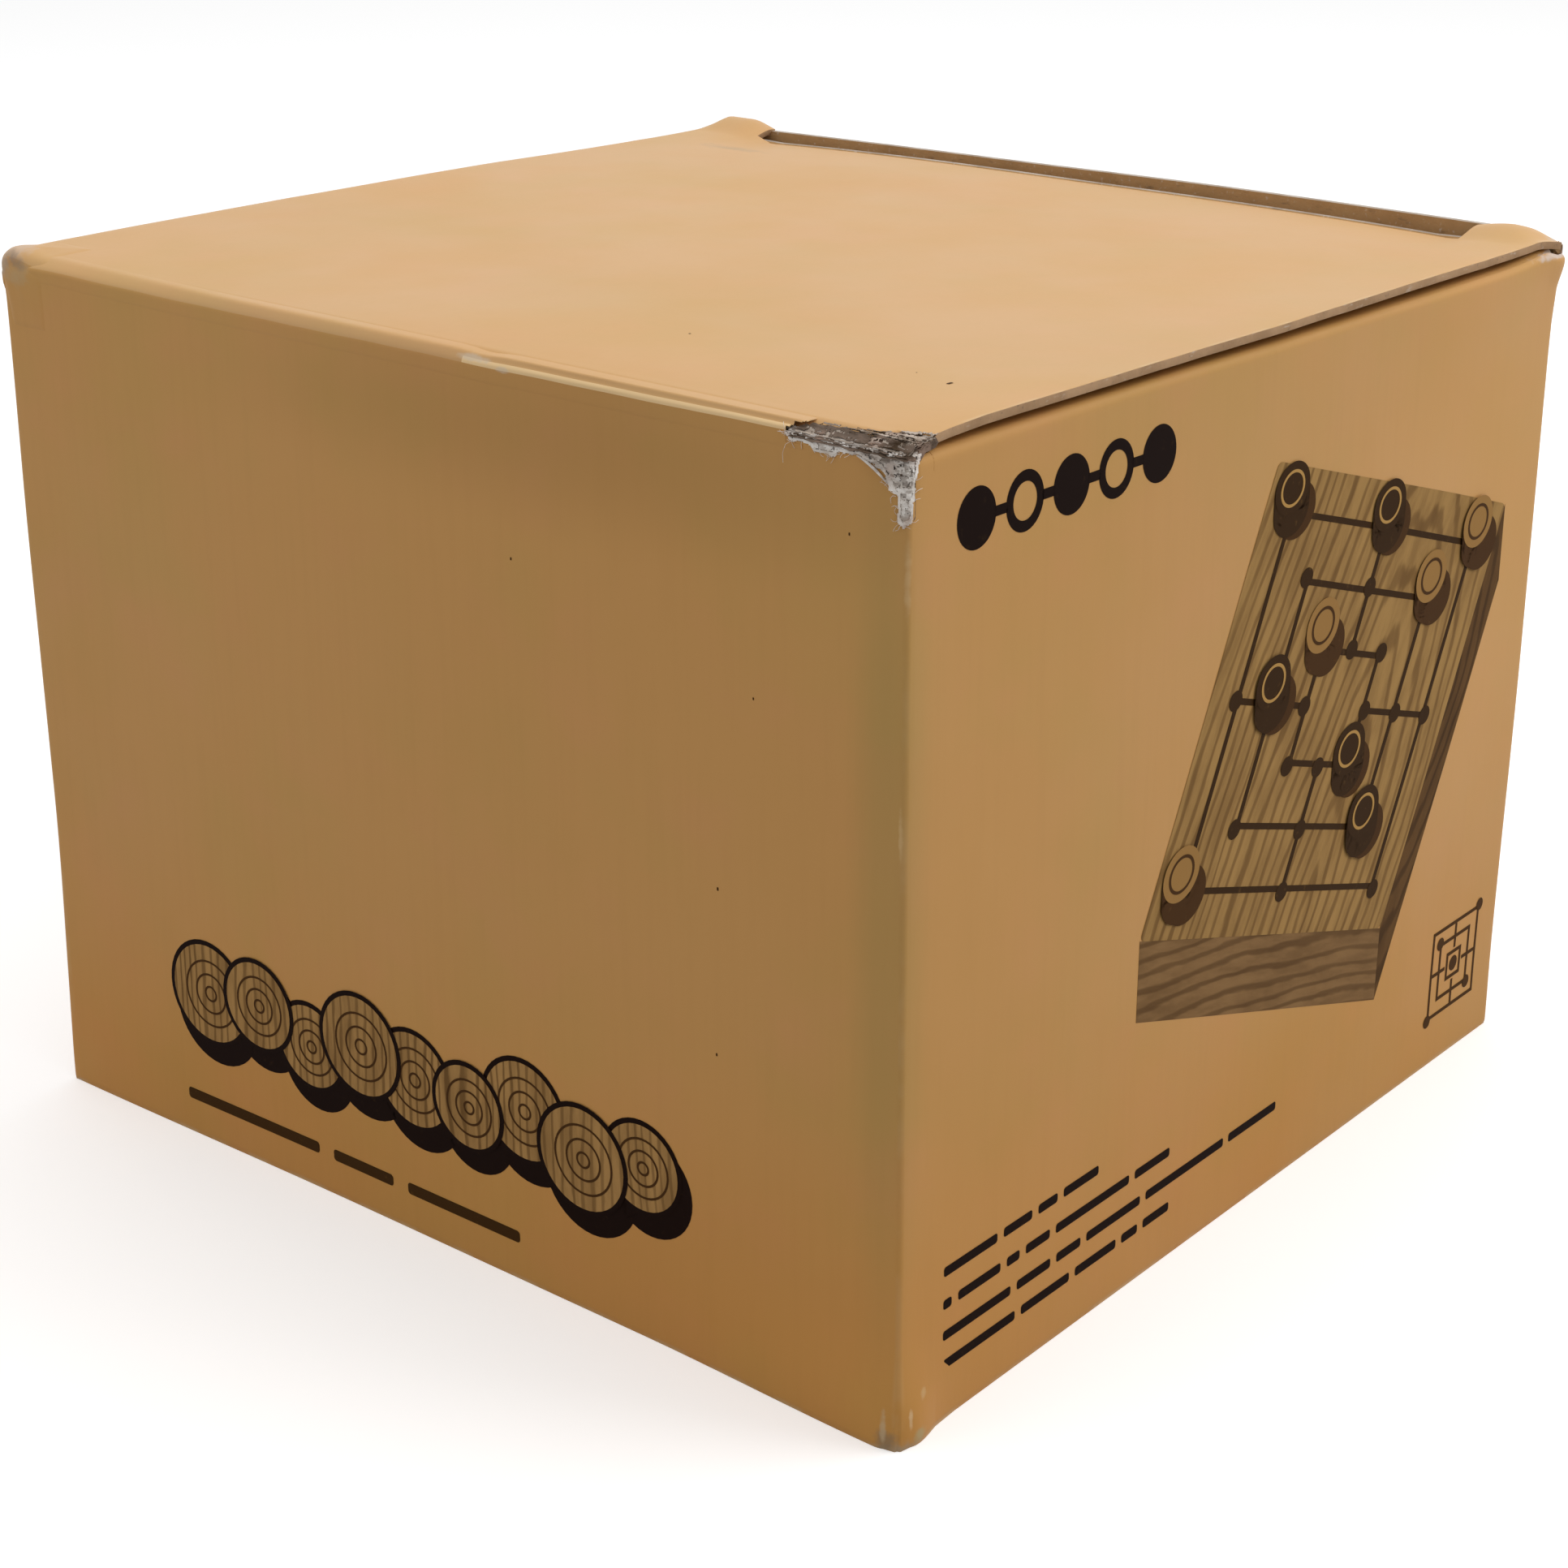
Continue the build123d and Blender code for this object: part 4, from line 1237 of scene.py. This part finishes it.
class CARTON_OT_corner(bpy.types.Operator):
    """Round the rear end of the lid's crease, where the corner has been knocked and pushed out"""

    bl_idname = "carton.corner"
    bl_label = "Knocked corner"

    def execute(self, context):
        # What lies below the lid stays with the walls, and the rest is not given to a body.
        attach(self.dome("knocked_corner_wall", False), "carton")
        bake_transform(self.dome("knocked_corner", True))
        return {"FINISHED"}

    @staticmethod
    def dome(name, upper):
        """The corner's rounded skin, either its upper part or what lies more than 2.5 mm below its tip."""
        radius, size = 2.2 * MM, 10 * MM
        tip = Vector((-73.3, 75.6, 121.75)) * MM
        deselect_all()
        bpy.ops.mesh.primitive_cube_add(size=size, location=tip + Vector((1, -1, -1)) * size / 2)
        piece = named(name)
        bpy.ops.object.transform_apply(location=True, rotation=True, scale=True)
        edit(piece)
        low = size - 0.1 * MM
        pick(piece, "faces", lambda at: at.x > tip.x + low or at.y < tip.y - low or at.z < tip.z - low)
        bpy.ops.mesh.delete(type="FACE")
        bpy.ops.mesh.select_all(action="SELECT")
        bpy.ops.mesh.subdivide(number_cuts=27)
        pick(piece, "faces", lambda at: (at.z > tip.z - 2.5 * MM) != upper)
        bpy.ops.mesh.delete(type="FACE")
        finish_edit()
        for vertex in piece.data.vertices:
            inset = Vector((vertex.co.x - tip.x, tip.y - vertex.co.y, tip.z - vertex.co.z))
            far = max(inset)
            inward = Vector([max(radius - value, 0) for value in inset]).normalized()
            for axis in range(3):
                if inward[axis] > 0:
                    inset[axis] = radius * (1 - inward[axis])
            knocked = tip + Vector((inset.x, -inset.y, -inset.z))
            sound = settle(Vector((-HALF_X + inset.x, HALF_Y - inset.y, TOP - inset.z)))
            sound.z += lid_sag(sound.x, sound.y) * (1 - ramp(inset.z, 0, 3 * MM))
            share = ramp(far, 2.4 * MM, 8 * MM)
            lift = 0.1 - 0.4 * ramp(far, 7.5 * MM, 9.7 * MM) + 0.12 * rough(vertex.co, 2 * MM, 5) * (1 - share)
            out = Vector((-inward.x, inward.y, inward.z)) * lift * MM
            vertex.co = knocked * (1 - share) + sound * share + out
        give(piece, *board_of("print", "inner", "print", "lid_print"))
        # Faces turned up take the lid's paler print, with its painted sheen.
        for face in piece.data.polygons:
            face.material_index = 3 if face.normal.z > 0.45 else 0
        thicken(piece, 0.4 * MM)
        smooth(piece, 60)
        return piece


class CARTON_OT_game(bpy.types.Operator):
    """Give the wooden game its timber and turn the balls"""

    bl_idname = "carton.game"
    bl_label = "Wooden game"

    def execute(self, context):
        sizes = context.scene.carton_sizes
        for name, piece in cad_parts.items():
            for start, finish in (("game_block", "block"), ("peg_", "peg"), ("rules_leaflet", "paper")):
                if name.startswith(start):
                    give(piece, stuff(finish))
        low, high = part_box("ball_light_1")
        radius = (high.x - low.x) / 2
        half = (high.z - low.z) / 2
        bore = 2.95 * MM
        deselect_all()
        bpy.ops.mesh.primitive_uv_sphere_add(segments=sizes.ball_segments, ring_count=24, radius=radius)
        model = named("ball_pattern")
        edit(model)
        for side in (-1, 1):
            bpy.ops.mesh.select_all(action="SELECT")
            cut = {"plane_co": (0, 0, side * half), "plane_no": (0, 0, side)}
            bpy.ops.mesh.bisect(**cut, use_fill=True, clear_outer=True)
        pick(model, "faces", lambda at: abs(abs(at.z) - half) < 0.01 * MM)
        bpy.ops.mesh.inset(thickness=math.sqrt(radius**2 - half**2) - bore)
        bpy.ops.mesh.bridge_edge_loops()
        bpy.ops.mesh.select_all(action="SELECT")
        bpy.ops.mesh.normals_make_consistent(inside=False)
        finish_edit()
        smooth(model, 50)
        for node in sorted(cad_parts):
            if not node.startswith("ball_"):
                continue
            low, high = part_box(node)
            piece = put("turned_" + node, model.data.copy())
            turn = Matrix.Rotation(rough(low, 7 * MM) * 6, 4, "Z")
            piece.data.transform(Matrix.Translation((low + high) / 2) @ turn)
            piece.data.name = piece.name
            colour = "light" if "light" in node else "dark"
            give(piece, stuff(colour + "_ball"))
            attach(piece, "carton")
            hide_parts(node)
        bpy.data.objects.remove(model)
        return {"FINISHED"}


# ---------------------------------------------------------------- print
class Print:
    """Flat printed shapes on one face of the box, joined into one piece that follows the worn board."""

    def __init__(self, name, face, view=None):
        self.name = name
        self.face = face
        self.view = view
        self.parts = []

    def place(self, across, up, layer):
        """Point on the face: across from its left edge as seen, up from its lower edge."""
        lift = bpy.context.scene.carton_sizes.print_lift * (1 + layer)
        if self.face == "front":
            return settle(Vector((-HALF_X + across, -HALF_Y, up))) + Vector((0, -lift, 0))
        if self.face == "left":
            return settle(Vector((-HALF_X, HALF_Y - across, up))) + Vector((-lift, 0, 0))
        x, y = -HALF_X + across, -HALF_Y + up
        return Vector((x, y, TOP + lid_sag(x, y) + lift))

    def lay(self, piece, material, layer, shift=(0, 0)):
        """Turn a shape drawn flat in XY onto the face."""
        activate(piece)
        bpy.ops.object.transform_apply(location=True, rotation=True, scale=True)
        if self.view:
            for vertex in piece.data.vertices:
                vertex.co.x, vertex.co.y = self.view(vertex.co.x, vertex.co.y)
        for vertex in piece.data.vertices:
            vertex.co.x += shift[0]
            vertex.co.y += shift[1]
        edit(piece)
        for axis in (0, 1):
            spread = [vertex.co[axis] for vertex in piece.data.vertices]
            cut_lines(axis, [p * 4 * MM for p in range(40) if min(spread) < p * 4 * MM < max(spread)])
        finish_edit()
        for vertex in piece.data.vertices:
            vertex.co = self.place(vertex.co.x, vertex.co.y, layer)
        give(piece, material)
        outward = {"front": Vector((0, -1, 0)), "left": Vector((-1, 0, 0)), "top": Vector((0, 0, 1))}[self.face]
        if piece.data.polygons[0].normal.dot(outward) < 0:
            turn_over(piece)
        self.parts.append(piece)

    @staticmethod
    def rim_only(piece, width):
        """Leave a rim of a width and take the middle out."""
        edit(piece)
        bpy.ops.mesh.inset(thickness=width)
        bpy.ops.mesh.delete(type="FACE")
        finish_edit()

    def disc(self, across, up, radius, material, layer=0, sides=40, shift=(0, 0), rim=None):
        """A full disc, or a ring when it has a rim's width."""
        deselect_all()
        bpy.ops.mesh.primitive_circle_add(vertices=sides, radius=radius, fill_type="NGON", location=(across, up, 0))
        piece = bpy.context.object
        if rim:
            self.rim_only(piece, rim)
        self.lay(piece, material, layer, shift)

    def bar(self, left, low, width, height, material, layer=0, corner=0.0):
        """A bar by its lower left corner, with its corners rounded by a share of its width."""
        deselect_all()
        bpy.ops.mesh.primitive_plane_add(size=1, location=(left + width / 2, low + height / 2, 0))
        piece = bpy.context.object
        piece.scale = (width, height, 1)
        bpy.ops.object.transform_apply(location=True, rotation=True, scale=True)
        if corner > 0:
            edit(piece)
            bpy.ops.mesh.bevel(affect="VERTICES", offset=min(width, height) * corner, segments=5)
            finish_edit()
        self.lay(piece, material, layer)

    def square_line(self, across, up, side, width, material, layer=0):
        deselect_all()
        bpy.ops.mesh.primitive_plane_add(size=side, location=(across, up, 0))
        piece = bpy.context.object
        self.rim_only(piece, width)
        self.lay(piece, material, layer)

    def patch(self, corners, material, layer=0):
        """A polygon by its corners, in metres across and up."""
        mesh = bpy.data.meshes.new("patch")
        mesh.from_pydata([(a, b, 0) for a, b in corners], [], [tuple(range(len(corners)))])
        view, self.view = self.view, None
        self.lay(put("patch", mesh), material, layer)
        self.view = view

    def finish(self, body="carton"):
        piece = joined(self.name, self.parts)
        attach(piece, body)


def morris_board(sheet, across, up, side, line, material, layer):
    """Traditional board: three nested squares joined by four short lines."""
    for share in (1.0, 0.66, 0.32):
        sheet.square_line(across, up, side * share, line, material, layer)
    inner, outer = side * 0.16, side * 0.5
    for dx, dy in ((1, 0), (-1, 0), (0, 1), (0, -1)):
        middle = (inner + outer) / 2
        length = outer - inner - line
        width = length if dx else line
        height = length if dy else line
        left, low = across + dx * middle - width / 2, up + dy * middle - height / 2
        sheet.bar(left, low, width, height, material, layer)


class CARTON_OT_front_print(bpy.types.Operator):
    """Print the front: a picture of a morris board with its men, a row of men, plain lines and a small mark"""

    bl_idname = "carton.front_print"
    bl_label = "Front print"

    def execute(self, context):
        self.picture()
        lines = Print("front_lines", "front")
        for i in range(5):
            x = 11.8 * MM + i * 8.8 * MM
            if i % 2:
                lines.disc(x, 110 * MM, 3.5 * MM, stuff("ink"), rim=1.3 * MM)
            else:
                lines.disc(x, 110 * MM, 3.5 * MM, stuff("ink"))
            if i:
                lines.bar(x - 5.6 * MM, 109.4 * MM, 2.4 * MM, 1.2 * MM, stuff("ink"))
        words = (
            (19.4, (10.5, 5.8, 4.0, 7.5)),
            (15.0, (1.6, 8.4, 2.6, 5.0, 16.0, 8.0)),
            (10.8, (13.5, 7.0, 5.2, 12.0, 18.5, 12.0)),
            (6.9, (14.5, 10.2, 9.0, 3.6, 6.0)),
        )
        for base, lengths in words:
            x = 8.4
            for length in lengths:
                lines.bar(x * MM, base * MM, length * MM, 1.3 * MM, stuff("ink"), 0, 0.3)
                x += length + 1.3
        lines.finish()

        mark = Print("front_mark", "front")
        x, z = 133, 14.5
        morris_board(mark, x * MM, z * MM, 14 * MM, 0.6 * MM, stuff("sepia"), 0)
        mark.disc(x * MM, z * MM, 1.2 * MM, stuff("sepia"), 0, 24)
        for dx, dz in ((-7, -7), (7, 7), (-4.6, 4.6), (4.6, -4.6)):
            mark.disc((x + dx) * MM, (z + dz) * MM, 1.0 * MM, stuff("sepia"), 1, 20)
        mark.finish()
        return {"FINISHED"}

    def picture(self):
        """A thick square board seen from above, drawn in parallel projection."""
        middle = Vector((91.5, 66))
        a, b = Vector((31, -10)), Vector((13.5, 27.5))

        def view(x, y):
            at = middle + a * x + b * y
            return at.x * MM, at.y * MM

        sheet = Print("front_picture", "front", view)
        thick = Vector((0, -11))
        near, front, right = (middle + a * sx + b * sy for sx, sy in ((-1, -1), (1, -1), (1, 1)))
        for first, second, grain in ((near, front, "face_grain"), (front, right, "end_grain")):
            side = (first, first + thick, second + thick, second)
            sheet.patch([(p.x * MM, p.y * MM) for p in side], stuff(grain))
        sheet.bar(-1, -1, 2, 2, stuff("top_grain"), 1, 0.015)
        morris_board(sheet, 0, 0, 1.62, 0.028, stuff("dark_man"), 2)
        steps = [(dx, dy) for dx in (-1, 0, 1) for dy in (-1, 0, 1) if dx or dy]
        points = [(dx * share, dy * share) for share in (0.81, 0.535, 0.26) for dx, dy in steps]
        for x, y in points:
            sheet.disc(x, y, 0.045, stuff("dark_man"), 3, 20)
        # The men, from the rear to the front, so that each is printed over the one behind it.
        men = [(*points[index], "dark") for index in (2, 4, 13, 9, 21)]
        men += [(*points[index], "light") for index in (7, 0, 18, 15)]
        crown = 2.8 * MM
        for number, (x, y, tone) in enumerate(sorted(men, key=lambda man: -view(man[0], man[1])[1])):
            layer = 4 + (number % 3) * 3
            body = stuff(tone + "_man")
            side, groove = (body, stuff("glint")) if tone == "dark" else (stuff("sepia"), stuff("sepia"))
            sheet.disc(x, y, 0.13, stuff("sepia"), layer - 1, 40, (1.5 * MM, -0.5 * MM))
            for lift in range(5):
                sheet.disc(x, y, 0.125, side, layer, 40, (0, lift * 0.55 * MM))
            sheet.disc(x, y, 0.122, body, layer + 1, 40, (0, crown))
            sheet.disc(x, y, 0.085, groove, layer + 2, 40, (0, crown), 0.014)
        sheet.finish()


class CARTON_OT_side_print(bpy.types.Operator):
    """Print the left side: a row of log slices with a dark shade, and a row of plain bars"""

    bl_idname = "carton.side_print"
    bl_label = "Side print"

    def execute(self, context):
        men = Print("side_men", "left")
        for i in range(9):
            x = (31.6 + i * 9.9) * MM
            z = (23.2 + 1.8 * math.sin(i * 2.4)) * MM
            radius = (6.9 + 0.7 * math.cos(i * 1.9)) * MM
            layer = i % 2 * 3
            men.disc(x + 1.3 * MM, z - 2.3 * MM, radius + 0.5 * MM, stuff("ink"), 0)
            men.disc(x, z, radius + 0.25 * MM, stuff("ink"), layer + 1)
            men.disc(x, z, radius - 0.45 * MM, stuff("disc"), layer + 2)
            for share in (0.66, 0.4, 0.16):
                men.disc(x + 0.3 * MM, z, radius * share, stuff("sepia"), layer + 3, rim=0.32 * MM)
        men.finish()
        bars = Print("side_bars", "left")
        x = 25.8
        for length in (26.0, 11.5, 20.5):
            bars.bar(x * MM, 5.4 * MM, length * MM, 1.7 * MM, stuff("soft_ink"), 0, 0.3)
            x += length + 2.8
        bars.finish()
        return {"FINISHED"}


class CARTON_OT_specks(bpy.types.Operator):
    """Add the few dark specks of dirt on the wall and the lid"""

    bl_idname = "carton.specks"
    bl_label = "Specks"

    def execute(self, context):
        wall = Print("wall_specks", "left")
        for across, up, size in (
            (123.5, 63.9, 0.26), (123, 42.8, 0.24), (129, 88.1, 0.2), (92.5, 97, 0.22), (142.2, 109.3, 0.2),
        ):
            wall.bar(across * MM, up * MM, size * MM, 1.7 * size * MM, stuff("sepia"), 0, 0.4)
        wall.finish()
        lid = Print("lid_specks", "top")
        for across, up, width, length in ((21.8, 48.7, 0.3, 0.3), (21.6, 11.1, 0.9, 0.45), (23.6, 17, 0.2, 0.2)):
            lid.bar(across * MM, up * MM, width * MM, length * MM, stuff("sepia"), 0, 0.4)
        lid.finish("lid")
        return {"FINISHED"}


class CARTON_OT_stage(bpy.types.Operator):
    """Set the pale floor, the soft lights and the camera"""

    bl_idname = "carton.stage"
    bl_label = "Stage"

    def execute(self, context):
        scene = context.scene
        deselect_all()
        bpy.ops.mesh.primitive_circle_add(vertices=64, radius=6, fill_type="NGON", location=(0, 0, 0))
        floor = named("floor")
        material = bpy.data.materials.new("matt_white_paper_floor")
        material.use_nodes = True
        tree = material.node_tree
        tree.nodes.clear()
        seen = self.seen(tree)
        # What the camera sees of the floor is paler than what lights the box from below.
        inputs = {0: seen, 6: (0.42, 0.41, 0.40, 1), 7: (0.93, 0.93, 0.93, 1)}
        shade = add(tree, "ShaderNodeMix", inputs, data_type="RGBA").outputs[2]
        matt = add(tree, "ShaderNodeBsdfDiffuse", {"Color": shade})
        shine = add(tree, "ShaderNodeMath", {0: seen, 1: 0.34}, operation="MULTIPLY").outputs[0]
        glow = add(tree, "ShaderNodeEmission", {"Color": (1, 1, 1, 1), "Strength": shine})
        both = add(tree, "ShaderNodeAddShader", {0: matt.outputs[0], 1: glow.outputs[0]})
        add(tree, "ShaderNodeOutputMaterial", {"Surface": both.outputs[0]})
        give(floor, material)

        world = bpy.data.worlds.new("white_studio")
        world.use_nodes = True
        scene.world = world
        tree = world.node_tree
        inputs = {"Value": self.seen(tree), "To Min": 0.53, "To Max": 1.0}
        strength = add(tree, "ShaderNodeMapRange", inputs).outputs[0]
        background = tree.nodes["Background"]
        background.inputs["Color"].default_value = (1, 1, 1, 1)
        tree.links.new(strength, background.inputs["Strength"])

        for name, place, power, size in (
            ("key_softbox", (0.42, -0.62, 0.66), 3.1, 0.6),
            ("top_softbox", (0.1, 0.1, 1.7), 8.0, 1.4),
            ("rear_softbox", (-0.6, 0.42, 0.45), 0.5, 0.5),
        ):
            bpy.ops.object.light_add(type="AREA", location=place)
            light = bpy.context.object
            light.name = name
            light.data.energy = power
            light.data.size = size
            light.rotation_euler = (Vector((0, 0, 0.05)) - Vector(place)).to_track_quat("-Z", "Y").to_euler()

        bpy.ops.object.camera_add(
            location=(-0.30526, -0.25099, 0.19840), rotation=[math.radians(a) for a in (68.457, 0.2297, -50.410)]
        )
        camera = bpy.context.object
        camera.name = "photo_view"
        camera.data.sensor_width = 36
        camera.data.lens = 67.96
        camera.data.clip_start = 0.01
        scene.camera = camera
        scene.view_settings.view_transform = "Standard"
        return {"FINISHED"}

    @staticmethod
    def seen(tree):
        """1 for rays from the camera and for what gloss and glass show."""
        ray = add(tree, "ShaderNodeLightPath").outputs
        inputs = {0: ray["Is Glossy Ray"], 1: ray["Is Transmission Ray"]}
        shiny = add(tree, "ShaderNodeMath", inputs, operation="MAXIMUM").outputs[0]
        return add(tree, "ShaderNodeMath", {0: ray["Is Camera Ray"], 1: shiny}, operation="MAXIMUM").outputs[0]


class CARTON_PT_panel(bpy.types.Panel):
    """Sizes, colours and the steps that dress the carton"""

    bl_idname = "CARTON_PT_panel"
    bl_label = "Game Carton"
    bl_space_type = "VIEW_3D"
    bl_region_type = "UI"
    bl_category = "Game Carton"

    def draw(self, context):
        for group in (context.scene.carton_sizes, context.scene.carton_colours):
            for key in group.__annotations__:
                self.layout.prop(group, key)
        for operator in OPERATORS:
            self.layout.operator(operator.bl_idname)


OPERATORS = (
    CARTON_OT_sleeve,
    CARTON_OT_lid,
    CARTON_OT_dust_flaps,
    CARTON_OT_bottom,
    CARTON_OT_tear,
    CARTON_OT_corner,
    CARTON_OT_game,
    CARTON_OT_front_print,
    CARTON_OT_side_print,
    CARTON_OT_specks,
    CARTON_OT_stage,
)
CLASSES = (CartonSizes, CartonColours, *OPERATORS, CARTON_PT_panel)


def register():
    for kind in CLASSES:
        bpy.utils.register_class(kind)
    bpy.types.Scene.carton_sizes = PointerProperty(type=CartonSizes)
    bpy.types.Scene.carton_colours = PointerProperty(type=CartonColours)


def unregister():
    del bpy.types.Scene.carton_sizes
    del bpy.types.Scene.carton_colours
    for kind in reversed(CLASSES):
        bpy.utils.unregister_class(kind)


def main():
    register()
    bpy.ops.carton.sleeve()
    bpy.ops.carton.lid()
    bpy.ops.carton.dust_flaps()
    bpy.ops.carton.bottom()
    bpy.ops.carton.tear()
    bpy.ops.carton.corner()
    bpy.ops.carton.game()
    bpy.ops.carton.front_print()
    bpy.ops.carton.side_print()
    bpy.ops.carton.specks()
    bpy.ops.carton.stage()


if __name__ == "__main__":
    main()
